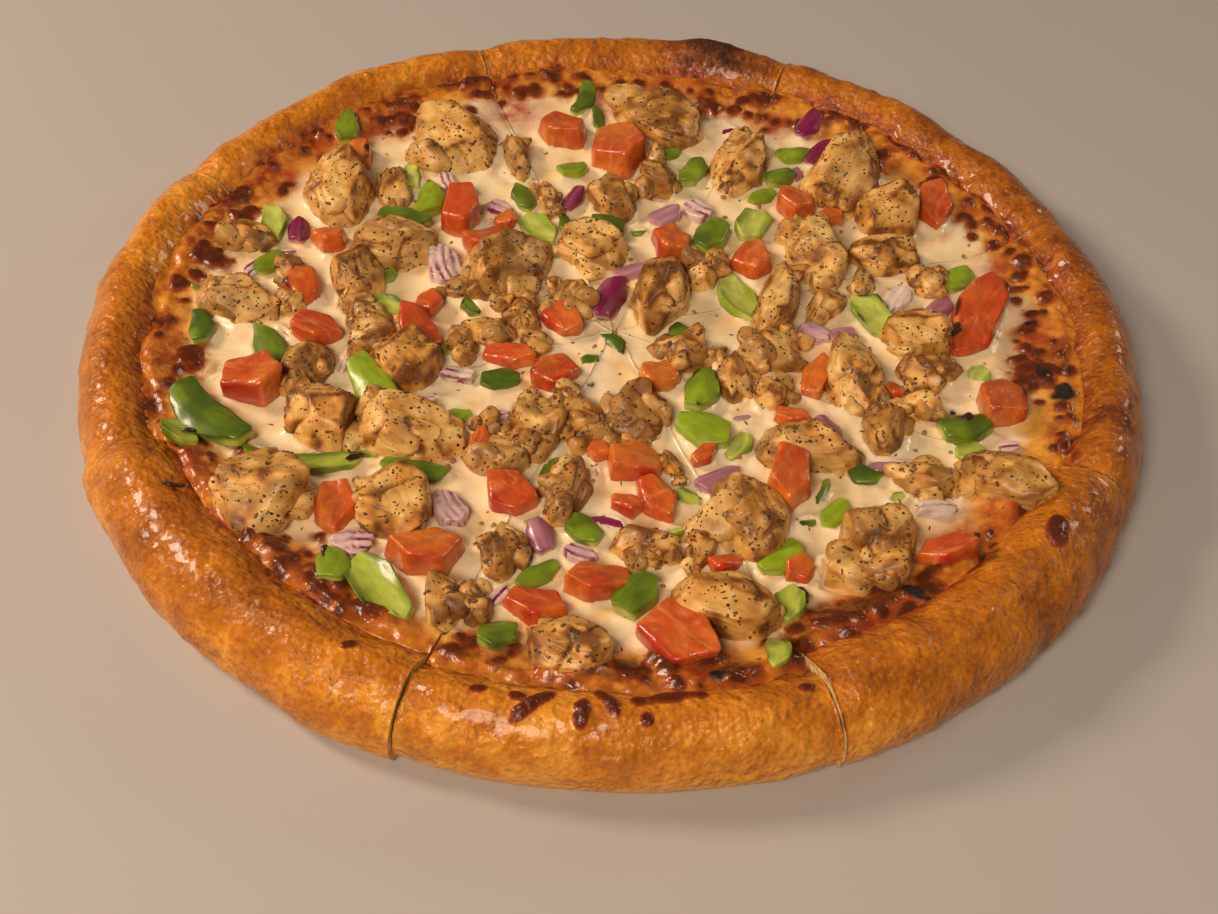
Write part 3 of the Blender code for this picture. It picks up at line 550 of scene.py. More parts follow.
def skin_normals(points, faces):
    """Unit normals of the points, averaged over their triangles."""
    faces = np.array(faces)
    corners = points[faces]
    across = np.cross(corners[:, 1] - corners[:, 0], corners[:, 2] - corners[:, 0])
    normals = np.zeros_like(points)
    for k in range(3):
        np.add.at(normals, faces[:, k], across)
    return normals / np.maximum(np.linalg.norm(normals, axis=1), 1e-12)[:, None]


def show(name, mesh):
    """Puts a finished mesh in the scene, on the pizza's body; the object takes its material from the mesh."""
    obj = bpy.data.objects.new(name, mesh)
    bpy.context.scene.collection.objects.link(obj)
    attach(obj, "root")
    return obj


class Builder:
    """Gathers points in millimetres, faces and attributes, and turns them into one object."""

    def __init__(self):
        self.points, self.faces, self.flat, self.layers, self.count = [], [], [], {}, 0

    def add(self, points, faces, caps=(), **layers):
        self.points.append(points)
        self.faces += [tuple(k + self.count for k in face) for face in faces]
        self.flat += [False] * len(faces) + [True] * len(caps)
        self.faces += [tuple(k + self.count for k in face) for face in caps]
        for name, values in layers.items():
            self.layers.setdefault(name, []).append(values)
        self.count += len(points)

    def finish(self, name, look, slot, *nodes):
        mesh = bpy.data.meshes.new(name)
        points = np.vstack(self.points) * MM
        mesh.from_pydata(points.tolist(), [], self.faces)
        mesh.polygons.foreach_set("use_smooth", [not flat for flat in self.flat])
        if any(self.flat):
            cut = mesh.attributes.new("cut_face", "FLOAT", "FACE")
            cut.data.foreach_set("value", [float(flat) for flat in self.flat])
        for layer, values in self.layers.items():
            values = np.concatenate(values)
            wide = values.ndim == 2
            made = mesh.attributes.new(layer, "FLOAT_VECTOR" if wide else "FLOAT", "POINT")
            made.data.foreach_set("vector" if wide else "value", values.astype(np.float32).ravel())
        mesh.materials.append(look)
        mesh.validate()
        obj = show(name, mesh)
        if nodes:
            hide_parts(*nodes)
        return obj


class Look:
    """A material made of nodes, with short ways to add them."""

    def __init__(self, name, roughness=0.4, **values):
        self.material = bpy.data.materials.new(name)
        self.material.use_nodes = True
        self.nodes, self.links = self.material.node_tree.nodes, self.material.node_tree.links
        self.shader = self.nodes["Principled BSDF"]
        self.place = self.nodes.new("ShaderNodeTexCoord").outputs["Object"]
        self.set(Roughness=roughness, **values)

    def set(self, **values):
        for name, value in values.items():
            self.shader.inputs[name.replace("_", " ")].default_value = value

    def put(self, socket, value):
        """Links a socket to a node, or sets it to a colour or a number."""
        if isinstance(value, bpy.types.NodeSocket):
            self.links.new(value, socket)
        elif hasattr(value, "__len__") and len(value) == 3 and len(socket.default_value) == 4:
            socket.default_value = (*value, 1.0)
        else:
            socket.default_value = value

    def layer(self, name, vector=False):
        """Reads an attribute of the mesh."""
        node = self.nodes.new("ShaderNodeAttribute")
        node.attribute_name = name
        return node.outputs["Vector" if vector else "Fac"]

    def noise(self, size, detail=3.0, place=None, roughness=0.55):
        """Noise with features of a size in millimetres."""
        node = self.nodes.new("ShaderNodeTexNoise")
        self.links.new(place or self.place, node.inputs["Vector"])
        node.inputs["Scale"].default_value = 1 / (size * MM)
        node.inputs["Detail"].default_value = detail
        node.inputs["Roughness"].default_value = roughness
        return node.outputs["Fac"]

    def cells(self, size, place=None):
        """Distance to the middle of scattered cells of a size in millimetres."""
        node = self.nodes.new("ShaderNodeTexVoronoi")
        self.links.new(place or self.place, node.inputs["Vector"])
        node.inputs["Scale"].default_value = 1 / (size * MM)
        return node.outputs["Distance"]

    def stretch(self, scale, place=None):
        node = self.nodes.new("ShaderNodeMapping")
        self.links.new(place or self.place, node.inputs["Vector"])
        node.inputs["Scale"].default_value = scale
        return node.outputs["Vector"]

    def level(self, value, low, high, to_low=0.0, to_high=1.0):
        """Stretches a value from one range to another, and stops at its ends."""
        node = self.nodes.new("ShaderNodeMapRange")
        self.put(node.inputs["Value"], value)
        for name, number in zip(("From Min", "From Max", "To Min", "To Max"), (low, high, to_low, to_high)):
            node.inputs[name].default_value = number
        return node.outputs["Result"]

    def math(self, operation, first, second):
        node = self.nodes.new("ShaderNodeMath")
        node.operation = operation
        self.put(node.inputs[0], first)
        self.put(node.inputs[1], second)
        return node.outputs[0]

    def times(self, first, second):
        return self.math("MULTIPLY", first, second)

    def plus(self, first, second):
        return self.math("ADD", first, second)

    def mix(self, share, first, second):
        node = self.nodes.new("ShaderNodeMix")
        node.data_type = "RGBA"
        self.put(node.inputs["Factor"], share)
        self.put(node.inputs[6], first)
        self.put(node.inputs[7], second)
        return node.outputs[2]

    def bump(self, height, strength, distance, below=None):
        """A bump of a height in millimetres, on top of another one."""
        node = self.nodes.new("ShaderNodeBump")
        node.inputs["Strength"].default_value = strength
        node.inputs["Distance"].default_value = distance * MM
        self.links.new(height, node.inputs["Height"])
        if below:
            self.links.new(below, node.inputs["Normal"])
        return node.outputs["Normal"]

    def finish(self, colour, normal=None, roughness=None):
        self.links.new(colour, self.shader.inputs["Base Color"])
        if normal:
            self.links.new(normal, self.shader.inputs["Normal"])
        if roughness:
            self.links.new(roughness, self.shader.inputs["Roughness"])
        return self.material


def bread_look(settings):
    """Glazed skin, paler or more toasted by the mesh's toast, which also holds painted light and painted
    shade round the rim, and open crumb on the cut faces.
    """
    look = Look("baked_bread", Coat_Weight=BREAD_GLAZE, Coat_Roughness=0.09, Specular_IOR_Level=0.28)
    look.set(Subsurface_Weight=0.06, Subsurface_Radius=(1.0, 0.5, 0.2), Subsurface_Scale=2.5 * MM)
    # The mesh's toast holds real baking and also painted light and painted shade round the rim
    toast_and_shade = look.plus(look.layer("toast_and_shade"), look.level(look.noise(8, 4), 0.3, 0.7, -0.34, 0.34))
    toast_and_shade = look.plus(toast_and_shade, look.level(look.noise(1.5, 3), 0.35, 0.65, -0.16, 0.16))
    colour = look.mix(look.level(toast_and_shade, -0.35, 0.15), LIGHT_GOLD, settings.golden)
    colour = look.mix(look.level(toast_and_shade, 0.05, 1.0), colour, settings.toasted)
    burnt = look.level(toast_and_shade, 0.95, 1.45)
    colour = look.mix(burnt, colour, BURNT_BREAD)
    specks = look.level(look.cells(3.1), 0.16, 0.08)
    colour = look.mix(look.times(specks, 0.5), colour, settings.toasted)
    colour = look.mix(look.times(look.layer("stain"), 0.8), colour, SAUCE_STAIN)
    seared = look.times(look.layer("stain"), look.level(look.noise(4, 4), 0.44, 0.58))
    colour = look.mix(seared, colour, SEARED_STAIN)
    shred = look.layer("shred")
    colour = look.mix(look.level(shred, 0.25, 0.55), colour, BROWN_SHRED)
    colour = look.mix(look.level(shred, 0.60, 0.95), colour, DARK_SHRED)
    crumb = look.mix(look.level(look.noise(2.2, 3), 0.42, 0.6), settings.crumb, DEEP_CRUMB)
    colour = look.mix(look.layer("cut_face"), colour, crumb)
    pebbles = look.bump(look.noise(2.6, 1, roughness=0.5), 1.0, 1.3)
    pebbles = look.bump(look.noise(1.2, 1), 0.6, 0.4, pebbles)
    rough = look.level(look.noise(5, 2), 0.3, 0.7, 0.24, 0.46)
    rough = look.plus(rough, look.times(burnt, 0.45))
    look.put(look.shader.inputs["Coat Weight"], look.level(burnt, 0.0, 0.6, BREAD_GLAZE, 0.0))
    return look.finish(colour, pebbles, rough)


def cheese_look(settings):
    """Melted cheese, from cream in the middle through gold to brown, with sauce, blisters and char."""
    look = Look("melted_cheese", Coat_Weight=CHEESE_OIL, Coat_Roughness=0.14, Specular_IOR_Level=0.4)
    look.set(Subsurface_Weight=0.3, Subsurface_Radius=(1.0, 0.7, 0.35), Subsurface_Scale=3.0 * MM)
    bake = look.plus(look.layer("bake"), look.level(look.noise(6, 4), 0.3, 0.7, -0.2, 0.2))
    colour = look.mix(look.level(look.noise(14, 3), 0.38, 0.66), settings.cream, YELLOW_CHEESE)
    oil = look.level(look.noise(8, 3), 0.56, 0.70, 0.0, 0.45)
    colour = look.mix(oil, colour, ORANGE_OIL)
    colour = look.mix(look.level(look.noise(19, 2), 0.55, 0.72, 0.0, 0.30), colour, PINK_CHEESE)
    colour = look.mix(look.level(bake, 0.12, 0.55), colour, GOLDEN_CHEESE)
    golden = look.mix(look.level(look.noise(4, 4), 0.38, 0.62), settings.browned, BAKED_GOLD)
    colour = look.mix(look.level(bake, 0.5, 1.0), colour, golden)
    crust = look.mix(look.level(look.noise(3, 4), 0.35, 0.65), *EDGE_CHEESE)
    colour = look.mix(look.times(look.layer("merge"), 0.85), colour, crust)
    sauce = look.times(look.layer("sauce"), look.level(look.noise(5, 3), 0.3, 0.6, 0.35, 1.0))
    colour = look.mix(sauce, colour, settings.sauce)
    scorched = look.times(look.layer("scorch"), look.level(look.noise(3.5, 4), 0.36, 0.56, 0.0, 1.0))
    colour = look.mix(look.times(scorched, 0.9), colour, SCORCHED_CHEESE)
    blister = look.times(look.layer("blister"), look.level(look.noise(2.5, 3), 0.25, 0.6, 0.55, 1.1))
    colour = look.mix(look.level(blister, 0.02, 0.45), colour, BLISTER_EDGE)
    colour = look.mix(look.level(blister, 0.40, 0.90), colour, settings.blistered)
    char = look.layer("char")
    colour = look.mix(char, colour, CHARRED)
    dimples = look.bump(look.noise(2.2, 3), 0.25, 0.4)
    dimples = look.bump(look.times(look.noise(1.3, 2), bake), 0.5, 0.5, dimples)
    rough = look.level(look.noise(7, 2), 0.35, 0.65, 0.20, 0.36)
    rough = look.plus(rough, look.times(char, 0.3))
    look.put(look.shader.inputs["Coat Weight"], look.level(char, 0.0, 0.5, CHEESE_OIL, 0.0))
    return look.finish(colour, dimples, rough)


def near_rows(places, rows):
    """How near places are to the nearest of some spots: 1 at its middle."""
    total = np.zeros(len(places))
    for x, y, reach in rows:
        near = np.hypot(places[:, 0] - x, places[:, 1] - y) / reach
        total = np.maximum(total, np.exp(-near ** 2))
    return total


def under_shreds(points):
    """Height of the baked shreds at each place of the rim, and how brown it is."""
    shred, dome = np.zeros(len(points)), np.zeros(len(points))
    for row in SHREDS:
        reach = ellipse_reach(points[:, 0], points[:, 1], row) + 0.22 * soft_noise(points, 2.5, 61)
        reach = reach + (points[:, 2] < 12) * 9
        dome = np.maximum(dome, row[5] * np.sqrt(np.maximum(1 - reach ** 2, 0)))
        shred = np.maximum(shred, smooth((1.35 - reach) / 0.7))
    return dome, shred


class PIZZA_OT_bread(bpy.types.Operator):
    """Makes the eight slices of bread with their golden rim"""

    bl_idname = "pizza.bread"
    bl_label = "Bread"

    def execute(self, context):
        settings = context.scene.pizza_bread
        step = settings.grid / MM
        made = Builder()
        for piece in PIECES:
            fine = curve_through(piece.bread_rows, step)
            rows = [(0, BASE_HEIGHT), (piece.slope_foot, BASE_HEIGHT)] + fine.tolist() + [(0, 0.0)]
            # Coarse underneath, finer towards the rim
            spacing = [8, 4] + [step * 1.6] * 8 + [step] * (len(fine) - 8) + [8]
            points, faces, caps = band(rows, spacing, piece, bulge=0.37)
            normals = skin_normals(points, faces)
            dome, shred = under_shreds(points)
            r = np.hypot(points[:, 0], points[:, 1])
            shown = smooth((r - piece.edge + 6) / 6) * smooth(points[:, 2] / 3)
            # The skin swells in lumps and small bubbles, but not underneath
            lumps = layered_noise(points, 15.0, 11, 2) * settings.lump / MM
            bubbles = np.maximum(soft_noise(points, 4.2, 21), 0.25) - 0.25
            bubbles = bubbles * settings.bubble / MM * 2.2 + soft_noise(points, 2.6, 5) * 0.20
            points = points + normals * (shown * (lumps + bubbles) + dome)[:, None]
            points[:, 2] = np.maximum(points[:, 2], 0.0)
            angle = np.arctan2(points[:, 1], points[:, 0])
            # The crest is baked most, and the foot least
            crest = np.exp(-(((r - piece.radius + piece.rim * 0.50) / 9.5) ** 2))
            toast_and_shade = -0.06 + 0.32 * crest + 0.32 * layered_noise(points, 22.0, 31, 3)
            toast_and_shade += 0.12 * smooth(points[:, 2] / 14) - 0.38 * smooth((8 - points[:, 2]) / 7)
            hump = np.exp(-(((angle - HUMP_DIRECTION) / HUMP_COLOUR_REACH) ** 2)) * crest
            # Round the rim the colour also changes by direction: partly real baking, partly painted light and
            # painted shade
            toast_and_shade += 0.72 * hump + np.interp(np.degrees(angle) % 360, *ROUND_BAKE_AND_SHADE)
            stain = smooth((piece.edge + 5 + 2.5 * soft_noise(points, 7.0, 41) - r) / 5)
            made.add(points, faces, caps, toast_and_shade=toast_and_shade, stain=stain, shred=shred)
        made.finish("bread", bread_look(settings), "crust", *slice_nodes("crust"))
        return {"FINISHED"}


def all_blisters(scattered):
    """Rows of every blister: the large ones, those in runs, and some scattered along the rim."""
    rng = random.Random(4)
    rows = list(BLISTERS)
    for x0, y0, x1, y1, spread, count, size, drawn in BLISTER_RUNS:
        along = math.degrees(math.atan2(y1 - y0, x1 - x0))
        for _ in range(count):
            share, width = rng.random(), size * rng.uniform(0.5, 1.25)
            x = x0 + (x1 - x0) * share + rng.gauss(0, spread)
            y = y0 + (y1 - y0) * share + rng.gauss(0, spread)
            long = width * rng.uniform(1.0, drawn)
            rows.append((x, y, long, width, along + rng.gauss(0, 35), width * 0.28))
    for _ in range(scattered):
        angle, r, size = rng.uniform(0, 2 * math.pi), rng.gauss(131, 6), rng.uniform(1.6, 4.2)
        x, y, long = r * math.cos(angle), r * math.sin(angle), size * rng.uniform(1.0, 1.7)
        rows.append((x, y, long, size, rng.uniform(0, 180), size * 0.25))
    return rows


def around_toppings(flat_places, on_top, outlines, height):
    """How far the cheese climbs at each place, and how much a topping presses it flat."""
    x, y = flat_places[:, 0], flat_places[:, 1]
    climb, pressed = np.zeros(len(x)), np.zeros(len(x))
    climbs = 1 + 0.7 * soft_noise(flat_places, 5.0, 17)
    for outline in outlines:
        low, high = outline.min(axis=0) - 6, outline.max(axis=0) + 6
        near = np.where((x > low[0]) & (x < high[0]) & (y > low[1]) & (y < high[1]) & on_top)[0]
        if not len(near):
            continue
        out, sides = outward(outline)
        reach = (np.stack([x[near], y[near]], axis=1) @ out.T - sides).max(axis=1)
        away = np.where(reach > -0.6, (reach + 0.6) / 1.7, -(reach + 0.6) / 1.3)
        climb[near] = np.maximum(climb[near], height * np.exp(-away) * climbs[near])
        pressed[near] = np.maximum(pressed[near], smooth(-reach / 2.5))
    return climb, pressed


def under_blisters(flat_places, blisters):
    """Height of the blisters at each place, how browned it is, and how scorched round them."""
    x, y = flat_places[:, 0], flat_places[:, 1]
    dome, blister, halo = np.zeros(len(x)), np.zeros(len(x)), np.zeros(len(x))
    rough = 0.42 * soft_noise(flat_places, 2.8, 23) + 0.25 * soft_noise(flat_places, 6.0, 24)
    for row in blisters:
        near = np.where((abs(x - row[0]) < row[2] + 4) & (abs(y - row[1]) < row[2] + 4))[0]
        reach = ellipse_reach(x[near], y[near], row) + rough[near]
        dome[near] = np.maximum(dome[near], row[5] * np.sqrt(np.maximum(1 - reach ** 2, 0)))
        blister[near] = np.maximum(blister[near], smooth((1.45 - reach) / 0.9))
        halo[near] = np.maximum(halo[near], smooth((2.4 - reach) / 1.3))
    return dome, blister, halo


class PIZZA_OT_cheese(bpy.types.Operator):
    """Makes the melted cheese, climbing up the toppings and blistered along the rim"""

    bl_idname = "pizza.cheese"
    bl_label = "Cheese"

    def execute(self, context):
        settings = context.scene.pizza_cheese
        grid = settings.grid / MM
        blisters = all_blisters(settings.blisters)
        outlines = [morsel.outline for morsel in all_morsels()]
        made = Builder()
        for piece in PIECES:
            fine = curve_through(piece.cheese_rows, grid)
            below = [(piece.edge + 1, piece.crest - EDGE_DROP - 0.4), (piece.edge - 8, BASE_HEIGHT + 1.5),
                     (piece.slope_foot, BASE_HEIGHT - 0.5), (0, BASE_HEIGHT - 0.5)]
            spacing = [grid] * len(fine) + [grid * 2, 4, 6, 8]
            points, faces, caps = band(fine.tolist() + below, spacing, piece, bulge=0.39)
            hidden = sum(columns_of(r, piece, step) for (r, _), step in zip(below, spacing[-len(below):]))
            on_top = np.arange(len(points)) < len(points) - hidden
            layers = self.shape(points, on_top, piece, settings, blisters, outlines)
            made.add(points, faces, caps, **layers)
        made.finish("cheese", cheese_look(settings), "cheese", *slice_nodes("cheese"))
        return {"FINISHED"}

    def shape(self, points, on_top, piece, settings, blisters, outlines):
        """Gives the top its folds, climbs and blisters, and returns how each place is baked."""
        x, y = points[:, 0].copy(), points[:, 1].copy()
        r = np.hypot(x, y)
        rim = smooth((r - piece.edge + 16) / 14)
        flat_places = np.stack([x, y, np.zeros(len(x))], axis=1)
        folds = layered_noise(flat_places, 11.0, 3, 3) * settings.fold / MM * (1 - 0.5 * rim)
        folds += rim * (0.50 * soft_noise(flat_places, 4.6, 51) + 0.22 * soft_noise(flat_places, 2.3, 52))
        climb, pressed = around_toppings(flat_places, on_top, outlines, settings.climb / MM)
        folds, climb = folds * (1 - 0.9 * pressed), climb * (1 - 0.8 * pressed)
        dome, blister, halo = under_blisters(flat_places, blisters)
        # Where the cheese runs out over the rim, along a wavy line
        draw = EDGE_WAVE_DRAW * np.abs(wave(EDGE_WAVE, np.arctan2(y, x)))
        fade = smooth((piece.edge + 1.5 - draw - r + 1.5 * soft_noise(flat_places, 4.0, 29)) / 3.0)
        lowered = (1 - fade) * 1.9
        # The edges of the cuts are soft
        cuts = (piece.start, piece.start + piece.width)
        from_cut = np.minimum(*(abs(x * math.sin(a) - y * math.cos(a)) for a in cuts))
        soft_edge = (0.15 + 0.75 * smooth((r - 100) / 25)) * np.exp(-((np.maximum(from_cut, 0) / 1.0) ** 2))
        points[:, 2] += on_top * (folds + climb + dome * fade - lowered - soft_edge)
        # How each place is baked
        bake = smooth((r - piece.edge + 19 + 6 * soft_noise(flat_places, 12.0, 37)) / 17)
        sauce = near_rows(flat_places, SAUCE) * smooth((r - 95) / 20)
        seep = smooth(layered_noise(flat_places, 11.0, 71, 2) * 1.7 - 0.05)
        sauce = np.maximum(sauce, 0.6 * seep * np.exp(-(((r - piece.edge + 7) / 6.5) ** 2)))
        scorch = smooth(layered_noise(flat_places, 9.0, 81, 3) * 1.6 + 0.25)
        scorch = np.maximum(scorch * np.exp(-(((r - piece.edge + 4) / 6.0) ** 2)), 0.9 * halo)
        char = near_rows(flat_places, CHAR) + 0.25 * soft_noise(flat_places, 2.0, 43)
        return {
            "bake": bake,
            "scorch": scorch,
            "merge": smooth((r - piece.edge + 6 + 2.5 * soft_noise(flat_places, 5.0, 91)) / 6),
            "blister": blister * on_top,
            "sauce": sauce,
            "char": smooth((char - 0.45) / 0.25),
        }


class Morsel:
    """One piece of topping, in millimetres: outline from above, the plane it lies on and its height."""

    def __init__(self, kind, row, seed, node=None):
        x, y, length, width, turn = row[:5]
        self.node, self.spot, self.length, self.width = node, (x, y), length, width
        self.height = row[5] if len(row) > 5 else SMALL_HEIGHTS[kind] * min(1, 0.45 + width / 22)
        rng = random.Random(seed)
        self.seed, corners = seed, CORNERS[kind]
        self.centre = np.array((x, y), float)
        self.turn = math.radians(turn)
        cos, sin = math.cos(self.turn), math.sin(self.turn)
        self.along, self.across = np.array((cos, sin)), np.array((-sin, cos))
        points, phase = [], rng.random()
        for k in range(corners):
            angle = 2 * math.pi * (k + phase + rng.uniform(-0.18, 0.18)) / corners
            reach = rng.uniform(0.93, 1.10)
            points.append(Vector((length / 2 * math.cos(angle) * reach, width / 2 * math.sin(angle) * reach)))
        hull = [points[k] for k in convex_hull_2d(points)]
        self.local = np.array([tuple(p) for p in hull])
        after = np.roll(self.local, -1, axis=0)
        if (self.local[:, 0] * after[:, 1] - after[:, 0] * self.local[:, 1]).sum() < 0:
            self.local = self.local[::-1]
        self.outline = self.centre + self.local[:, :1] * self.along + self.local[:, 1:] * self.across

    def plane(self):
        """Slopes and height of the cheese under the piece."""
        places = np.vstack([self.outline, self.centre, (self.outline + self.centre) / 2])
        heights = cheese_height(places[:, 0], places[:, 1])
        sides = np.c_[places - self.centre, np.ones(len(places))]
        return np.linalg.lstsq(sides, heights, rcond=None)[0]

    def sides(self, rng, lean, tilt, half):
        """Flat sides round the outline, a tilted top and a base: a unit normal and a distance for each."""
        planes = [(a, b, rng.uniform(-lean / 3, lean), reach) for (a, b), reach in zip(*outward(self.local))]
        planes.append((rng.uniform(-tilt, tilt), rng.uniform(-tilt, tilt), 1.0, half))
        planes.append((0.0, 0.0, -1.0, half))
        return planes

    def chisels(self, rng, count, half):
        """Flat cuts in random directions, mostly from above."""
        size = np.array((self.length / 2, self.width / 2, half))
        planes = []
        for _ in range(count):
            normal = np.array([rng.gauss(0, 1), rng.gauss(0, 1), abs(rng.gauss(0, 0.9))])
            normal /= np.linalg.norm(normal)
            share = rng.uniform(0.62, 0.84) + 0.13 * (1 - normal[2])
            planes.append((*normal, np.linalg.norm(normal * size) * share))
        return planes

    def place(self, local):
        """Moves local points onto the cheese: along, across and up from the middle of the outline."""
        slope_x, slope_y, ground = self.plane()
        flat = self.centre + local[:, :1] * self.along + local[:, 1:2] * self.across
        tilt = (flat - self.centre) @ np.array((slope_x, slope_y))
        return np.c_[flat, ground + local[:, 2] + tilt]


TABLES = {
    "chicken": (CHICKEN, SMALL_CHICKEN), "tomato": (TOMATO, SMALL_TOMATO),
    "pepper": (PEPPER, SMALL_PEPPER), "onion": (ONION, SMALL_ONION),
}


def morsels(kind, large=True, small=True):
    """The pieces of one kind: the large ones, which have nodes of their own, and the small ones."""
    first, second = TABLES[kind]
    base = 1000 * sorted(TABLES).index(kind)
    made = []
    if large:
        made += [Morsel(kind, row, base + k, f"{kind}_{k + 1:02d}") for k, row in enumerate(first)]
    if small:
        made += [Morsel(kind, row, base + 500 + k) for k, row in enumerate(second)]
    return made


def nodes_of(kind):
    """Names of the nodes of the large pieces of one kind."""
    return [morsel.node for morsel in morsels(kind, small=False)]


def lay(made, morsel, local, faces, tint, seeded):
    """Adds a shaped and coloured piece, lying on the cheese."""
    made.add(morsel.place(local), faces, tint=tint, grain=seeded * MM)


def all_morsels():
    """Every piece of topping, large and small."""
    return [morsel for kind in TABLES for morsel in morsels(kind)]


BALLS = {}


def ball(level):
    """Directions and faces of an even ball."""
    if level not in BALLS:
        bm = bmesh.new()
        bmesh.ops.create_icosphere(bm, subdivisions=level, radius=1.0)
        directions = np.array([tuple(v.co) for v in bm.verts])
        directions /= np.linalg.norm(directions, axis=1)[:, None]
        BALLS[level] = directions, [tuple(v.index for v in face.verts) for face in bm.faces]
        bm.free()
    return BALLS[level]


def even_ball(level, size):
    """Directions that reach evenly over a body of the given half sizes, and their faces."""
    directions, faces = ball(level)
    directions = directions * np.array(size)
    return directions / np.linalg.norm(directions, axis=1)[:, None], faces


def carve(directions, planes, power):
    """Distances to a body with soft-edged flat sides, and how near each place is to an edge, from 0 to 1."""
    planes = np.array(planes, float)
    planes[:, :3] /= np.linalg.norm(planes[:, :3], axis=1)[:, None]
    terms = np.maximum(directions @ planes[:, :3].T / planes[:, 3], 1e-6)
    reach = (terms ** power).sum(axis=1) ** (-1 / power)
    side = terms.argmax(axis=1)
    terms = np.sort(terms, axis=1)
    return reach, smooth((terms[:, -2] / terms[:, -1] - 0.82) / 0.16), side


def blend(share, first, second):
    """Colours for a row of points, from the first at 0 to the second at 1."""
    share = np.clip(share, 0, 1)[:, None]
    return np.array(first) * (1 - share) + np.array(second) * share


def block(morsel, rng, low, high, bevel, lean=0.0, tilt=0.0, power=22):
    """A cut with flat faces and crisp edges, from the outline's sides.

    Gives its points, its faces and the nearness to an edge."""
    length, width = morsel.length, morsel.width
    around = 60 if morsel.node else 40
    turn = np.arange(around) * 2 * math.pi / around
    directions = np.stack([np.cos(turn) * length, np.sin(turn) * width], axis=1)
    directions /= np.linalg.norm(directions, axis=1)[:, None]
    out, sides = outward(morsel.local)
    terms = np.maximum(directions @ out.T / sides, 1e-6)
    reach = (terms ** power).sum(axis=1) ** (-1 / power)
    arc = [(math.sin(a), math.cos(a)) for a in (0.0, 0.4, 0.8, 1.2, math.pi / 2)]
    rows = [(share, None, high) for share in (0.3, 0.58, 0.82)]
    rows += [(1.0, -bevel + bevel * a, high - bevel + bevel * b) for a, b in arc]
    rows += [(1.0, 0.0, (low + high) / 2)]
    rows += [(1.0, -bevel + bevel * a, low + bevel - bevel * b) for a, b in reversed(arc[::2])]
    rows += [(0.5, None, low)]
    points, edge = [np.array([[0, 0, high]])], [np.zeros(1)]
    for share, inset, z in rows:
        radius = (reach - bevel) * share if inset is None else reach + inset
        points.append(np.c_[directions * radius[:, None], np.full(around, z)])
        edge.append(np.full(around, 0.0 if inset is None or inset == 0.0 else 1.0))
    points.append(np.array([[0, 0, low]]))
    edge.append(np.zeros(1))
    points, edge = np.vstack(points), np.concatenate(edge)
    faces, rings = [], len(rows)
    for k in range(around):
        after = (k + 1) % around
        faces.append((0, 1 + k, 1 + after))
        for ring in range(rings - 1):
            a, b = 1 + ring * around, 1 + (ring + 1) * around
            faces += [(a + k, b + k, b + after), (a + k, b + after, a + after)]
        last = 1 + (rings - 1) * around
        faces.append((last + k, len(points) - 1, last + after))
    rise = (points[:, 2] - low) / (high - low)
    points[:, :2] *= (1 + rng.uniform(-lean, lean / 3) * rise)[:, None]
    points[:, 2] += rise * (points[:, :2] @ np.array((rng.uniform(-tilt, tilt), rng.uniform(-tilt, tilt))))
    return points, faces, edge


def swell(points, faces, depth):
    """Moves points along their normals."""
    return points + skin_normals(points, faces) * depth[:, None]


def slab(morsel, rng, thickness, curl, bow, bevel):
    """A flat cut that is curled across, bowed along and tipped into the cheese.

    Gives its points, its faces, the points before they were bent, and the nearness to an edge."""
    length, width = morsel.length, morsel.width
    flat, faces, edge = block(morsel, rng, -thickness / 2, thickness / 2, bevel)
    local = flat.copy()
    local[:, 2] += curl * (0.3 - (flat[:, 1] / (width / 2)) ** 2)
    local[:, 1] += bow * ((flat[:, 0] / (length / 2)) ** 2 - 0.4)
    room = (morsel.height + SUNK - thickness - abs(curl) * 0.6) / width
    tip = math.asin(min(0.85, max(0.12, room))) * rng.choice((-1, 1))
    y, z = local[:, 1].copy(), local[:, 2].copy()
    local[:, 1] = y * math.cos(tip) - z * math.sin(tip)
    local[:, 2] = y * math.sin(tip) + z * math.cos(tip)
    local[:, 2] -= local[:, 2].min() + SUNK
    return local, faces, flat, edge


def topping_look(name, roughness, fleck=None, grain=(1, 1, 1), bumps=(1.4, 0.3, 0.3), **values):
    """A moist material that takes its colour from the mesh, with a grain along each piece and fine flecks."""
    look = Look(name, roughness, **values)
    inside = look.layer("grain", vector=True)
    stretched = look.stretch(grain, inside)
    shade = look.level(look.noise(2.4, 3, stretched), 0.3, 0.7, 0.78, 1.18)
    node = look.nodes.new("ShaderNodeVectorMath")
    node.operation = "MULTIPLY"
    look.links.new(look.layer("tint", vector=True), node.inputs[0])
    look.links.new(shade, node.inputs[1])
    colour = node.outputs[0]
    if fleck:
        size, colours = fleck
        spots = look.level(look.cells(size, inside), 0.24, 0.17)
        spots = look.times(spots, look.level(look.noise(5, 2, inside), 0.42, 0.55))
        colour = look.mix(spots, colour, colours)
    size, strength, distance = bumps
    normal = look.bump(look.noise(size, 3, stretched), strength, distance)
    return look.finish(colour, normal)


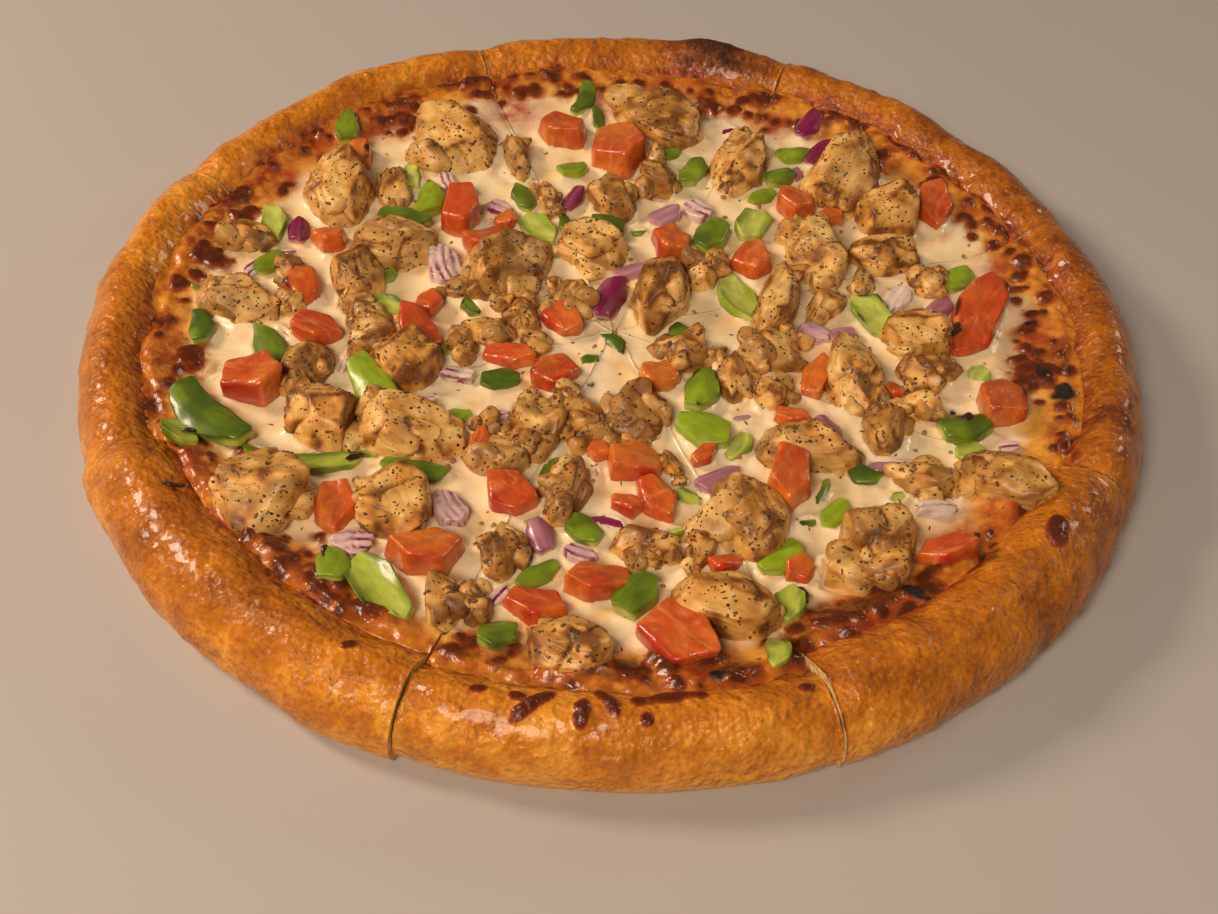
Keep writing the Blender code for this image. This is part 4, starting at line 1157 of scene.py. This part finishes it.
class PIZZA_OT_chicken(bpy.types.Operator):
    """Makes the grilled chicken, in chunks and crumbles"""

    bl_idname = "pizza.chicken"
    bl_label = "Chicken"

    def execute(self, context):
        settings = context.scene.pizza_toppings
        look = topping_look(
            "grilled_chicken", 0.42, (2.3, (0.03, 0.018, 0.008)), (0.35, 1, 1), (1.3, 0.5, 0.4),
            Coat_Weight=0.15, Coat_Roughness=0.22, Subsurface_Weight=0.12, Specular_IOR_Level=0.35,
            Subsurface_Radius=(1.0, 0.6, 0.3), Subsurface_Scale=2.0 * MM)
        chunks, crumbles = Builder(), Builder()
        for morsel in morsels("chicken"):
            self.add(chunks if morsel.node else crumbles, morsel, settings)
        chunks.finish("chicken_chunks", look, "chicken", *nodes_of("chicken"))
        crumbles.finish("chicken_crumbles", look, "chicken")
        return {"FINISHED"}

    def add(self, made, morsel, settings):
        rng = random.Random(morsel.seed + 3)
        length, width = morsel.length, morsel.width
        half = morsel.height / 2 + SUNK
        directions, faces = even_ball(5 if morsel.node else 4, (length / 2, width / 2, half))
        planes = morsel.sides(rng, 0.5, 0.25, half) + morsel.chisels(rng, 8, half)
        reach, edge, side = carve(directions, planes, 34)
        share = 1.0 if morsel.node else 0.86
        middle = np.array((0, 0, half - 2 * SUNK))
        self.meat(made, morsel, directions, faces, reach * share, edge, side, middle, morsel.seed, settings)
        for _ in range(1 if morsel.node else 4):
            angle, size = rng.uniform(0, 2 * math.pi), rng.uniform(0.13, 0.24) * (width + 5)
            out = rng.uniform(0.55, 0.92)
            middle = np.array((length / 2 * math.cos(angle) * out, width / 2 * math.sin(angle) * out,
                               rng.uniform(0.15, 0.72) * morsel.height - size * 0.35))
            self.nub(made, morsel, rng, middle, size, settings)

    def nub(self, made, morsel, rng, middle, size, settings):
        """A small torn lobe beside or on a chunk."""
        directions, faces = ball(3)
        long, flat = rng.uniform(1.0, 1.6), rng.uniform(0.65, 1.0)
        planes = []
        for _ in range(10):
            normal = np.array([rng.gauss(0, 1) for _ in range(3)])
            normal /= np.linalg.norm(normal)
            share = rng.uniform(0.62, 1.0)
            planes.append((*normal, size * share * np.linalg.norm(normal * (long, 1.0, flat))))
        reach, edge, side = carve(directions, planes, 30)
        reach = np.minimum(reach, size * 1.5)
        self.meat(made, morsel, directions, faces, reach, edge, side, middle, rng.randrange(4000), settings)

    def meat(self, made, morsel, directions, faces, reach, edge, side, middle, seed, settings):
        """Gives a carved body its torn fibres, clefts and browned edges, with painted shade in the clefts."""
        rng = random.Random(seed + 11)
        local = directions * reach[:, None]
        seeded = local + seed * SEED_STEP
        size = np.median(reach)
        lumps = 0.030 * size * layered_noise(seeded, 8.0, 1, 2) + 0.11 * soft_noise(seeded, 2.2, 9)
        cleft = smooth((0.13 - np.abs(soft_noise(seeded, 9.0, 33))) / 0.11)
        cleft = cleft * smooth(soft_noise(seeded, 12.0, 35) * 3)
        fibre = 1 - 2 * np.abs(soft_noise(seeded, np.array((11.0, 1.5, 1.5)), 13))
        torn = smooth(soft_noise(seeded, 9.0, 15) * 2 + 0.5)
        depth = lumps + fibre * torn * settings.fibre / MM - 1.1 * cleft * min(1, size / 8)
        local = local + directions * depth[:, None] + middle
        height = local[:, 2] / morsel.height
        sear_and_cleft_shade = 0.25 + 0.50 * edge * smooth(soft_noise(seeded, 6.0, 37) + 0.6)
        sear_and_cleft_shade = sear_and_cleft_shade + 0.12 * smooth(height * 1.6 - 0.7)
        sear_and_cleft_shade += np.array([rng.uniform(-0.20, 0.16) for _ in range(40)])[side]
        # Clefts are coloured darker: painted shade in the creases, beside the real searing
        sear_and_cleft_shade += 0.36 * layered_noise(seeded, 4.0, 19, 3) + 0.55 * cleft + rng.uniform(-0.26, 0.18)
        sear_and_cleft_shade += 0.0 if morsel.node else 0.13
        tint = blend(sear_and_cleft_shade * 1.9, settings.pale, settings.grilled)
        tint = blend((sear_and_cleft_shade - 0.46) * 2.4, tint, settings.seared)
        tint = blend(0.5 * smooth(0.6 - height * 2.5), tint, STEAMED_MEAT)
        seasoned = rng.uniform(-0.3, 0.9) + (0.0 if morsel.node else 0.2)
        rubbed = smooth(seasoned + layered_noise(seeded, 5.0, 45, 3))
        rubbed = rubbed * (0.60 + 0.3 * soft_noise(seeded, 1.6, 43))
        tint = blend(rubbed, tint, SEASONING)
        lay(made, morsel, local, faces, tint, seeded)


class PIZZA_OT_tomato(bpy.types.Operator):
    """Makes the wet cuts of tomato"""

    bl_idname = "pizza.tomato"
    bl_label = "Tomato"

    def execute(self, context):
        settings = context.scene.pizza_toppings
        look = topping_look(
            "cooked_tomato", 0.28, None, (0.6, 1, 1), (1.5, 0.55, 0.5), Coat_Weight=0.3, Coat_Roughness=0.12,
            Subsurface_Weight=0.5, Subsurface_Radius=(1.0, 0.30, 0.1), Subsurface_Scale=4.0 * MM)
        made = Builder()
        for morsel in morsels("tomato"):
            rng = random.Random(morsel.seed + 3)
            bevel, power = rng.uniform(0.8, 1.5), rng.choice((11, 16, 24))
            local, faces, edge = block(morsel, rng, -2 * SUNK, morsel.height, bevel, 0.25, 0.30, power)
            seeded = local + morsel.seed * SEED_STEP
            lumps = 0.65 * layered_noise(seeded, 6.5, 1, 2) + 0.12 * soft_noise(seeded, 1.8, 2)
            local = swell(local, faces, lumps)
            ripe = 0.35 + 0.55 * layered_noise(seeded, 8.0, 5, 2) + rng.uniform(-0.35, 0.35)
            tint = blend(ripe, settings.tomato, ORANGE_TOMATO)
            side = rng.choice((-1, 1))
            skin = smooth((local[:, 1] / morsel.width * side - 0.34) / 0.05)
            tint = blend(skin * 0.8, tint, TOMATO_SKIN)
            vein = smooth((0.10 - np.abs(soft_noise(seeded, np.array((14.0, 3.0, 5.0)), 25))) / 0.08)
            tint = blend(0.35 * vein * (1 - skin), tint, TOMATO_VEIN)
            scorched = smooth((edge + soft_noise(seeded, 4.0, 27) - 1.45) / 0.3) * (rng.random() < 0.15)
            tint = blend(scorched, tint, SCORCHED_TOMATO)
            lay(made, morsel, local, faces, tint, seeded)
        made.finish("tomato_cuts", look, "tomato", *nodes_of("tomato"))
        return {"FINISHED"}


class PIZZA_OT_pepper(bpy.types.Operator):
    """Makes the green pepper, in curved strips with skin on one side"""

    bl_idname = "pizza.pepper"
    bl_label = "Green pepper"

    def execute(self, context):
        settings = context.scene.pizza_toppings
        look = topping_look(
            "green_pepper", 0.32, None, (0.5, 1, 1), (1.8, 0.35, 0.3), Coat_Weight=0.14, Coat_Roughness=0.14,
            Subsurface_Weight=0.2, Subsurface_Radius=(0.5, 1.0, 0.2), Subsurface_Scale=1.5 * MM)
        made = Builder()
        for morsel in morsels("pepper"):
            rng = random.Random(morsel.seed + 3)
            length, width = morsel.length, morsel.width
            thickness = min(3.8, 0.38 * width)
            bow = rng.uniform(-0.16, 0.16) * length if length > 1.6 * width else 0
            up = rng.choice((-1, 1, 1, 1))
            curl = (0.15 if up > 0 else -0.13) * width
            local, faces, flat, edge = slab(morsel, rng, thickness, curl, bow, 0.45)
            seeded = flat + morsel.seed * SEED_STEP
            local = swell(local, faces, 0.28 * layered_noise(seeded, 4.5, 1, 2))
            skin = smooth((up * flat[:, 2] / thickness - 0.22) / 0.10)
            tone = PEPPER_TONES.get(morsel.spot, rng.uniform(0, 1))
            fresh = tone + 0.5 * layered_noise(seeded, 7.0, 5, 2)
            inner = blend(fresh, settings.flesh, PALE_FLESH)
            outer = blend(fresh, np.array(settings.skin) * (0.38, 0.48, 0.8), np.array(settings.skin) * 1.4)
            border = np.abs(flat[:, 1]) / (width / 2) + 0.20 * soft_noise(seeded, 5.0, 29)
            border = smooth((border - 0.44) / 0.26)
            outside = np.maximum(skin, 0.85 * border)[:, None]
            tint = inner * (1 - outside) + outer * outside
            scorched = smooth((edge * 1.1 + soft_noise(seeded, 4.0, 27) - 1.3) / 0.3) * (rng.random() < 0.3)
            tint = blend(scorched, tint, SCORCHED_PEPPER)
            lay(made, morsel, local, faces, tint, seeded)
        self.burnt_tips(made)
        made.finish("pepper_strips", look, "pepper", *nodes_of("pepper"))
        return {"FINISHED"}

    def burnt_tips(self, made):
        """Black curled tips on the edges of some cuts."""
        for k, (*row, rise) in enumerate(BURNT_TIPS):
            morsel = Morsel("pepper", row, TIP_SEED + k)
            rng = random.Random(TIP_SEED + 100 + k)
            local, faces, flat, _ = slab(morsel, rng, 0.9, 0.25 * row[3], 0.12 * row[2], 0.3)
            seeded = flat + morsel.seed * SEED_STEP
            local = swell(local, faces, 0.35 * layered_noise(seeded, 2.0, 1, 2)) + np.array((0, 0, rise))
            tint = blend(0.5 + 0.5 * soft_noise(seeded, 2.0, 3), *TIP_TONES)
            lay(made, morsel, local, faces, tint, seeded)


class PIZZA_OT_onion(bpy.types.Operator):
    """Makes the red onion, in layered pieces with purple edges"""

    bl_idname = "pizza.onion"
    bl_label = "Red onion"

    def execute(self, context):
        settings = context.scene.pizza_toppings
        look = topping_look(
            "red_onion", 0.26, None, (0.25, 1, 1), (1.5, 0.3, 0.3), Coat_Weight=0.4, Coat_Roughness=0.12,
            Subsurface_Weight=0.3, Subsurface_Radius=(1.0, 0.6, 0.7), Subsurface_Scale=2.0 * MM)
        made = Builder()
        for morsel in morsels("onion"):
            rng = random.Random(morsel.seed + 3)
            petal = morsel.spot in MAGENTA
            petal = petal or (not morsel.node and rng.random() < 0.35 and morsel.spot not in PALE)
            (self.petal if petal else self.layers)(made, morsel, rng, settings)
        made.finish("onion_layers", look, "onion", *nodes_of("onion"))
        return {"FINISHED"}

    def petal(self, made, morsel, rng, settings):
        """One thin curled layer, dark on its outer side."""
        thickness = min(2.2, 0.3 * morsel.width)
        local, faces, flat, _ = slab(morsel, rng, thickness, 0.28 * morsel.width, 0, 0.5)
        seeded = flat + morsel.seed * SEED_STEP
        local = swell(local, faces, 0.18 * layered_noise(seeded, 4.0, 1, 2))
        outside = smooth((flat[:, 2] / thickness + 0.15) / 0.25)
        deep = 1.0 if morsel.spot in MAGENTA else rng.uniform(0.25, 0.9)
        streak = 0.25 * soft_noise(seeded, np.array((12.0, 1.3, 3.0)), 7)
        tint = blend(outside * deep + streak, settings.petal, settings.magenta)
        lay(made, morsel, local, faces, tint, seeded)

    def layers(self, made, morsel, rng, settings):
        """A block cut across several layers, with a purple line between one and the next."""
        local, faces, _ = block(morsel, rng, -2 * SUNK, morsel.height, 0.5, 0.25, 0.2)
        seeded = local + morsel.seed * SEED_STEP
        width, pitch = morsel.width, rng.uniform(2.0, 2.8)
        across = local[:, 1] + 0.3 * local[:, 2] + 0.022 * local[:, 0] ** 2 + 0.3 * soft_noise(seeded, 7.0, 3)
        line = np.abs((across / pitch + rng.random()) % 1.0 - 0.5) * 2
        line = smooth((line - 0.56) / 0.20)
        local = swell(local, faces, 0.22 * layered_noise(seeded, 4.0, 1, 2) - 0.28 * line)
        local[:, 2] -= 0.08 * width * (2 * local[:, 1] / width) ** 2
        dim = rng.uniform(0.9, 1.4)
        purple = line * dim * smooth(soft_noise(seeded, 6.0, 7) + 0.8)
        purple = purple + 0.16 * layered_noise(seeded, 5.0, 9, 2)
        tint = blend(np.full(len(local), rng.random()), settings.petal, PALE_ONION)
        tint = blend(purple, tint, settings.magenta)
        lay(made, morsel, local, faces, tint, seeded)


def flake_tree():
    """Scatters small flat flakes over the upward faces of a mesh and gives only the flakes."""
    tree = bpy.data.node_groups.new("Flakes", "GeometryNodeTree")
    face = tree.interface
    face.new_socket("Geometry", in_out="INPUT", socket_type="NodeSocketGeometry")
    for name in ("Density", "Length", "Width", "Thickness"):
        face.new_socket(name, in_out="INPUT", socket_type="NodeSocketFloat")
    face.new_socket("Seed", in_out="INPUT", socket_type="NodeSocketInt")
    face.new_socket("Look", in_out="INPUT", socket_type="NodeSocketMaterial")
    face.new_socket("Geometry", in_out="OUTPUT", socket_type="NodeSocketGeometry")
    nodes, links = tree.nodes, tree.links
    given, result = nodes.new("NodeGroupInput"), nodes.new("NodeGroupOutput")
    normal, parts = nodes.new("GeometryNodeInputNormal"), nodes.new("ShaderNodeSeparateXYZ")
    upward = nodes.new("FunctionNodeCompare")
    upward.data_type, upward.operation = "FLOAT", "GREATER_THAN"
    upward.inputs[1].default_value = 0.25
    links.new(normal.outputs[0], parts.inputs[0])
    links.new(parts.outputs["Z"], upward.inputs[0])
    scatter = nodes.new("GeometryNodeDistributePointsOnFaces")
    links.new(given.outputs["Geometry"], scatter.inputs["Mesh"])
    links.new(upward.outputs[0], scatter.inputs["Selection"])
    patches, many, share = (nodes.new(kind) for kind in (
        "ShaderNodeTexNoise", "ShaderNodeMapRange", "ShaderNodeMath"))
    patches.inputs["Scale"].default_value = 140.0
    for name, number in zip(("From Min", "From Max", "To Min", "To Max"), (0.40, 0.62, 0.25, 2.1)):
        many.inputs[name].default_value = number
    share.operation = "MULTIPLY"
    links.new(patches.outputs["Fac"], many.inputs["Value"])
    links.new(many.outputs["Result"], share.inputs[0])
    links.new(given.outputs["Density"], share.inputs[1])
    links.new(share.outputs[0], scatter.inputs["Density"])
    links.new(given.outputs["Seed"], scatter.inputs["Seed"])
    flake, size = nodes.new("GeometryNodeMeshIcoSphere"), nodes.new("ShaderNodeCombineXYZ")
    flake.inputs["Radius"].default_value = 0.5
    flake.inputs["Subdivisions"].default_value = 1
    for axis, name in zip("XYZ", ("Length", "Width", "Thickness")):
        links.new(given.outputs[name], size.inputs[axis])
    shape = nodes.new("GeometryNodeTransform")
    links.new(flake.outputs["Mesh"], shape.inputs["Geometry"])
    links.new(size.outputs[0], shape.inputs["Scale"])
    turn, grow = nodes.new("FunctionNodeRandomValue"), nodes.new("FunctionNodeRandomValue")
    turn.data_type, grow.data_type = "FLOAT_VECTOR", "FLOAT"
    turn.inputs[0].default_value = (-0.35, -0.35, 0)
    turn.inputs[1].default_value = (0.35, 0.35, 2 * math.pi)
    grow.inputs[2].default_value = 0.45
    grow.inputs[3].default_value = 1.35
    spin = nodes.new("FunctionNodeRotateRotation")
    spin.rotation_space = "LOCAL"
    links.new(scatter.outputs["Rotation"], spin.inputs[0])
    links.new(turn.outputs[0], spin.inputs[1])
    placed = nodes.new("GeometryNodeInstanceOnPoints")
    links.new(scatter.outputs["Points"], placed.inputs["Points"])
    links.new(shape.outputs["Geometry"], placed.inputs["Instance"])
    links.new(spin.outputs[0], placed.inputs["Rotation"])
    links.new(grow.outputs[1], placed.inputs["Scale"])
    real, dress = nodes.new("GeometryNodeRealizeInstances"), nodes.new("GeometryNodeSetMaterial")
    links.new(placed.outputs["Instances"], real.inputs["Geometry"])
    links.new(real.outputs["Geometry"], dress.inputs["Geometry"])
    links.new(given.outputs["Look"], dress.inputs["Material"])
    links.new(dress.outputs["Geometry"], result.inputs["Geometry"])
    return tree


def scatter(name, tree, source, slot, **values):
    """Runs the flake tree on a copy of the source and keeps the flakes as a plain mesh."""
    guide = bpy.data.objects.new(name + "_guide", source.data.copy())
    bpy.context.scene.collection.objects.link(guide)
    modifier = guide.modifiers.new("Flakes", "NODES")
    modifier.node_group = tree
    for item in tree.interface.items_tree:
        if item.in_out == "INPUT" and item.name in values:
            modifier[item.identifier] = values[item.name]
    bpy.context.view_layer.update()
    graph = bpy.context.evaluated_depsgraph_get()
    mesh = bpy.data.meshes.new_from_object(guide.evaluated_get(graph))
    bpy.data.objects.remove(guide)
    mesh.name = name
    return show(name, mesh)


def flake_look(name, dark, light):
    """A dry, matt material between two tones."""
    look = Look(name, 0.6)
    return look.finish(look.mix(look.noise(2.0, 2), dark, light), look.bump(look.noise(0.4, 2), 0.3, 0.1))


class PIZZA_OT_flakes(bpy.types.Operator):
    """Scatters ground pepper, herbs and small browned crumbs"""

    bl_idname = "pizza.flakes"
    bl_label = "Herbs and pepper"

    def execute(self, context):
        settings = context.scene.pizza_toppings
        tree = flake_tree()
        objects = bpy.data.objects
        pepper = flake_look("ground_pepper", (0.03, 0.015, 0.005), (0.14, 0.065, 0.018))
        herb = flake_look("dried_herb", (0.05, 0.045, 0.012), (0.13, 0.10, 0.022))
        crisp = flake_look("crisp_bit", (0.05, 0.018, 0.006), (0.24, 0.095, 0.022))
        crumb = flake_look("browned_crumb", (0.22, 0.09, 0.02), (0.50, 0.28, 0.09))
        # Name, mesh it lies on, look, slot, share of the density, length, width and thickness in mm, seed
        jobs = (
            ("pepper_on_chunks", "chicken_chunks", pepper, "chicken", 1.45, 0.80, 0.52, 0.32, 1),
            ("herbs_on_chunks", "chicken_chunks", herb, "pepper", 0.40, 1.6, 0.55, 0.3, 2),
            ("pepper_on_crumbles", "chicken_crumbles", pepper, "chicken", 1.5, 0.75, 0.5, 0.32, 3),
            ("herbs_on_crumbles", "chicken_crumbles", herb, "pepper", 0.45, 1.6, 0.55, 0.3, 4),
            ("crisp_bits_on_chunks", "chicken_chunks", crisp, "chicken", 0.16, 1.9, 1.1, 0.7, 7),
            ("crisp_bits_on_crumbles", "chicken_crumbles", crisp, "chicken", 0.30, 1.8, 1.1, 0.8, 8),
            ("crumbs_on_cheese", "cheese", crumb, "chicken", 0.05, 1.9, 1.4, 1.0, 5),
            ("herbs_on_cheese", "cheese", herb, "pepper", 0.06, 1.5, 0.5, 0.25, 6),
        )
        for name, source, look, slot, share, length, width, thickness, seed in jobs:
            scatter(name, tree, objects[source], slot, Density=settings.flakes * share, Length=length * MM,
                    Width=width * MM, Thickness=thickness * MM, Seed=seed, Look=look)
        return {"FINISHED"}


def area_light(name, place, size, power, tone):
    """A round light that points at the middle of the pizza."""
    light = bpy.data.lights.new(name, "AREA")
    light.shape, light.size, light.energy, light.color = "DISK", size, power, tone
    obj = bpy.data.objects.new(name, light)
    obj.location = place
    obj.rotation_euler = (-Vector(place)).to_track_quat("-Z", "Y").to_euler()
    bpy.context.scene.collection.objects.link(obj)


class PIZZA_OT_stage(bpy.types.Operator):
    """Sets the floor, the lights and the camera"""

    bl_idname = "pizza.stage"
    bl_label = "Stage"

    def execute(self, context):
        settings = context.scene.pizza_stage
        corners = ((-1, -1), (1, -1), (1, 1), (-1, 1))
        mesh = bpy.data.meshes.new("floor")
        mesh.from_pydata([(x * FLOOR_REACH, y * FLOOR_REACH, 0) for x, y in corners], [], [(0, 1, 2, 3)])
        mesh.materials.append(Look("pale_floor", 0.6, Base_Color=(*settings.floor, 1.0)).material)
        floor = bpy.data.objects.new("floor", mesh)
        context.scene.collection.objects.link(floor)
        world = bpy.data.worlds.new("soft_room")
        world.use_nodes = True
        background = world.node_tree.nodes["Background"]
        background.inputs["Color"].default_value = ROOM_TONE
        background.inputs["Strength"].default_value = ROOM_STRENGTH
        context.scene.world = world
        context.scene.view_settings.view_transform = "Standard"
        for name, place, size, share, tone in LIGHTS:
            area_light(name, place, size, settings.key * share, tone)
        self.camera(context, settings)
        return {"FINISHED"}

    def camera(self, context, settings):
        """Stands where the photograph was taken from, with its slight roll."""
        data = bpy.data.cameras.new("camera")
        data.lens, data.sensor_width = settings.lens, 36.0
        data.clip_start, data.clip_end = 0.01, 20
        camera = bpy.data.objects.new("camera", data)
        place, target = Vector(CAMERA_PLACE), Vector(CAMERA_TARGET)
        turn = (target - place).to_track_quat("-Z", "Y").to_matrix().to_4x4()
        turned = turn @ Matrix.Rotation(CAMERA_ROLL, 4, "Z")
        turned.translation = place
        camera.matrix_world = turned
        context.scene.collection.objects.link(camera)
        context.scene.camera = camera


class PIZZA_PT_panel(bpy.types.Panel):
    """Lists the steps that build the pizza"""

    bl_idname = "PIZZA_PT_panel"
    bl_label = "Pizza"
    bl_space_type = "VIEW_3D"
    bl_region_type = "UI"
    bl_category = "Pizza"

    def draw(self, context):
        for operator in OPERATORS:
            self.layout.operator(operator.bl_idname)


GROUPS = {
    "pizza_bread": BreadSettings, "pizza_cheese": CheeseSettings,
    "pizza_toppings": ToppingSettings, "pizza_stage": StageSettings,
}
OPERATORS = (
    PIZZA_OT_bread, PIZZA_OT_cheese, PIZZA_OT_chicken, PIZZA_OT_tomato, PIZZA_OT_pepper,
    PIZZA_OT_onion, PIZZA_OT_flakes, PIZZA_OT_stage,
)


def register():
    for group in (*GROUPS.values(), *OPERATORS, PIZZA_PT_panel):
        bpy.utils.register_class(group)
    for name, group in GROUPS.items():
        setattr(bpy.types.Scene, name, bpy.props.PointerProperty(type=group))


def unregister():
    for name in GROUPS:
        delattr(bpy.types.Scene, name)
    for group in (PIZZA_PT_panel, *reversed(OPERATORS), *GROUPS.values()):
        bpy.utils.unregister_class(group)


def main():
    register()
    bpy.ops.pizza.bread()
    bpy.ops.pizza.cheese()
    bpy.ops.pizza.chicken()
    bpy.ops.pizza.tomato()
    bpy.ops.pizza.pepper()
    bpy.ops.pizza.onion()
    bpy.ops.pizza.flakes()
    bpy.ops.pizza.stage()


if __name__ == "__main__":
    main()
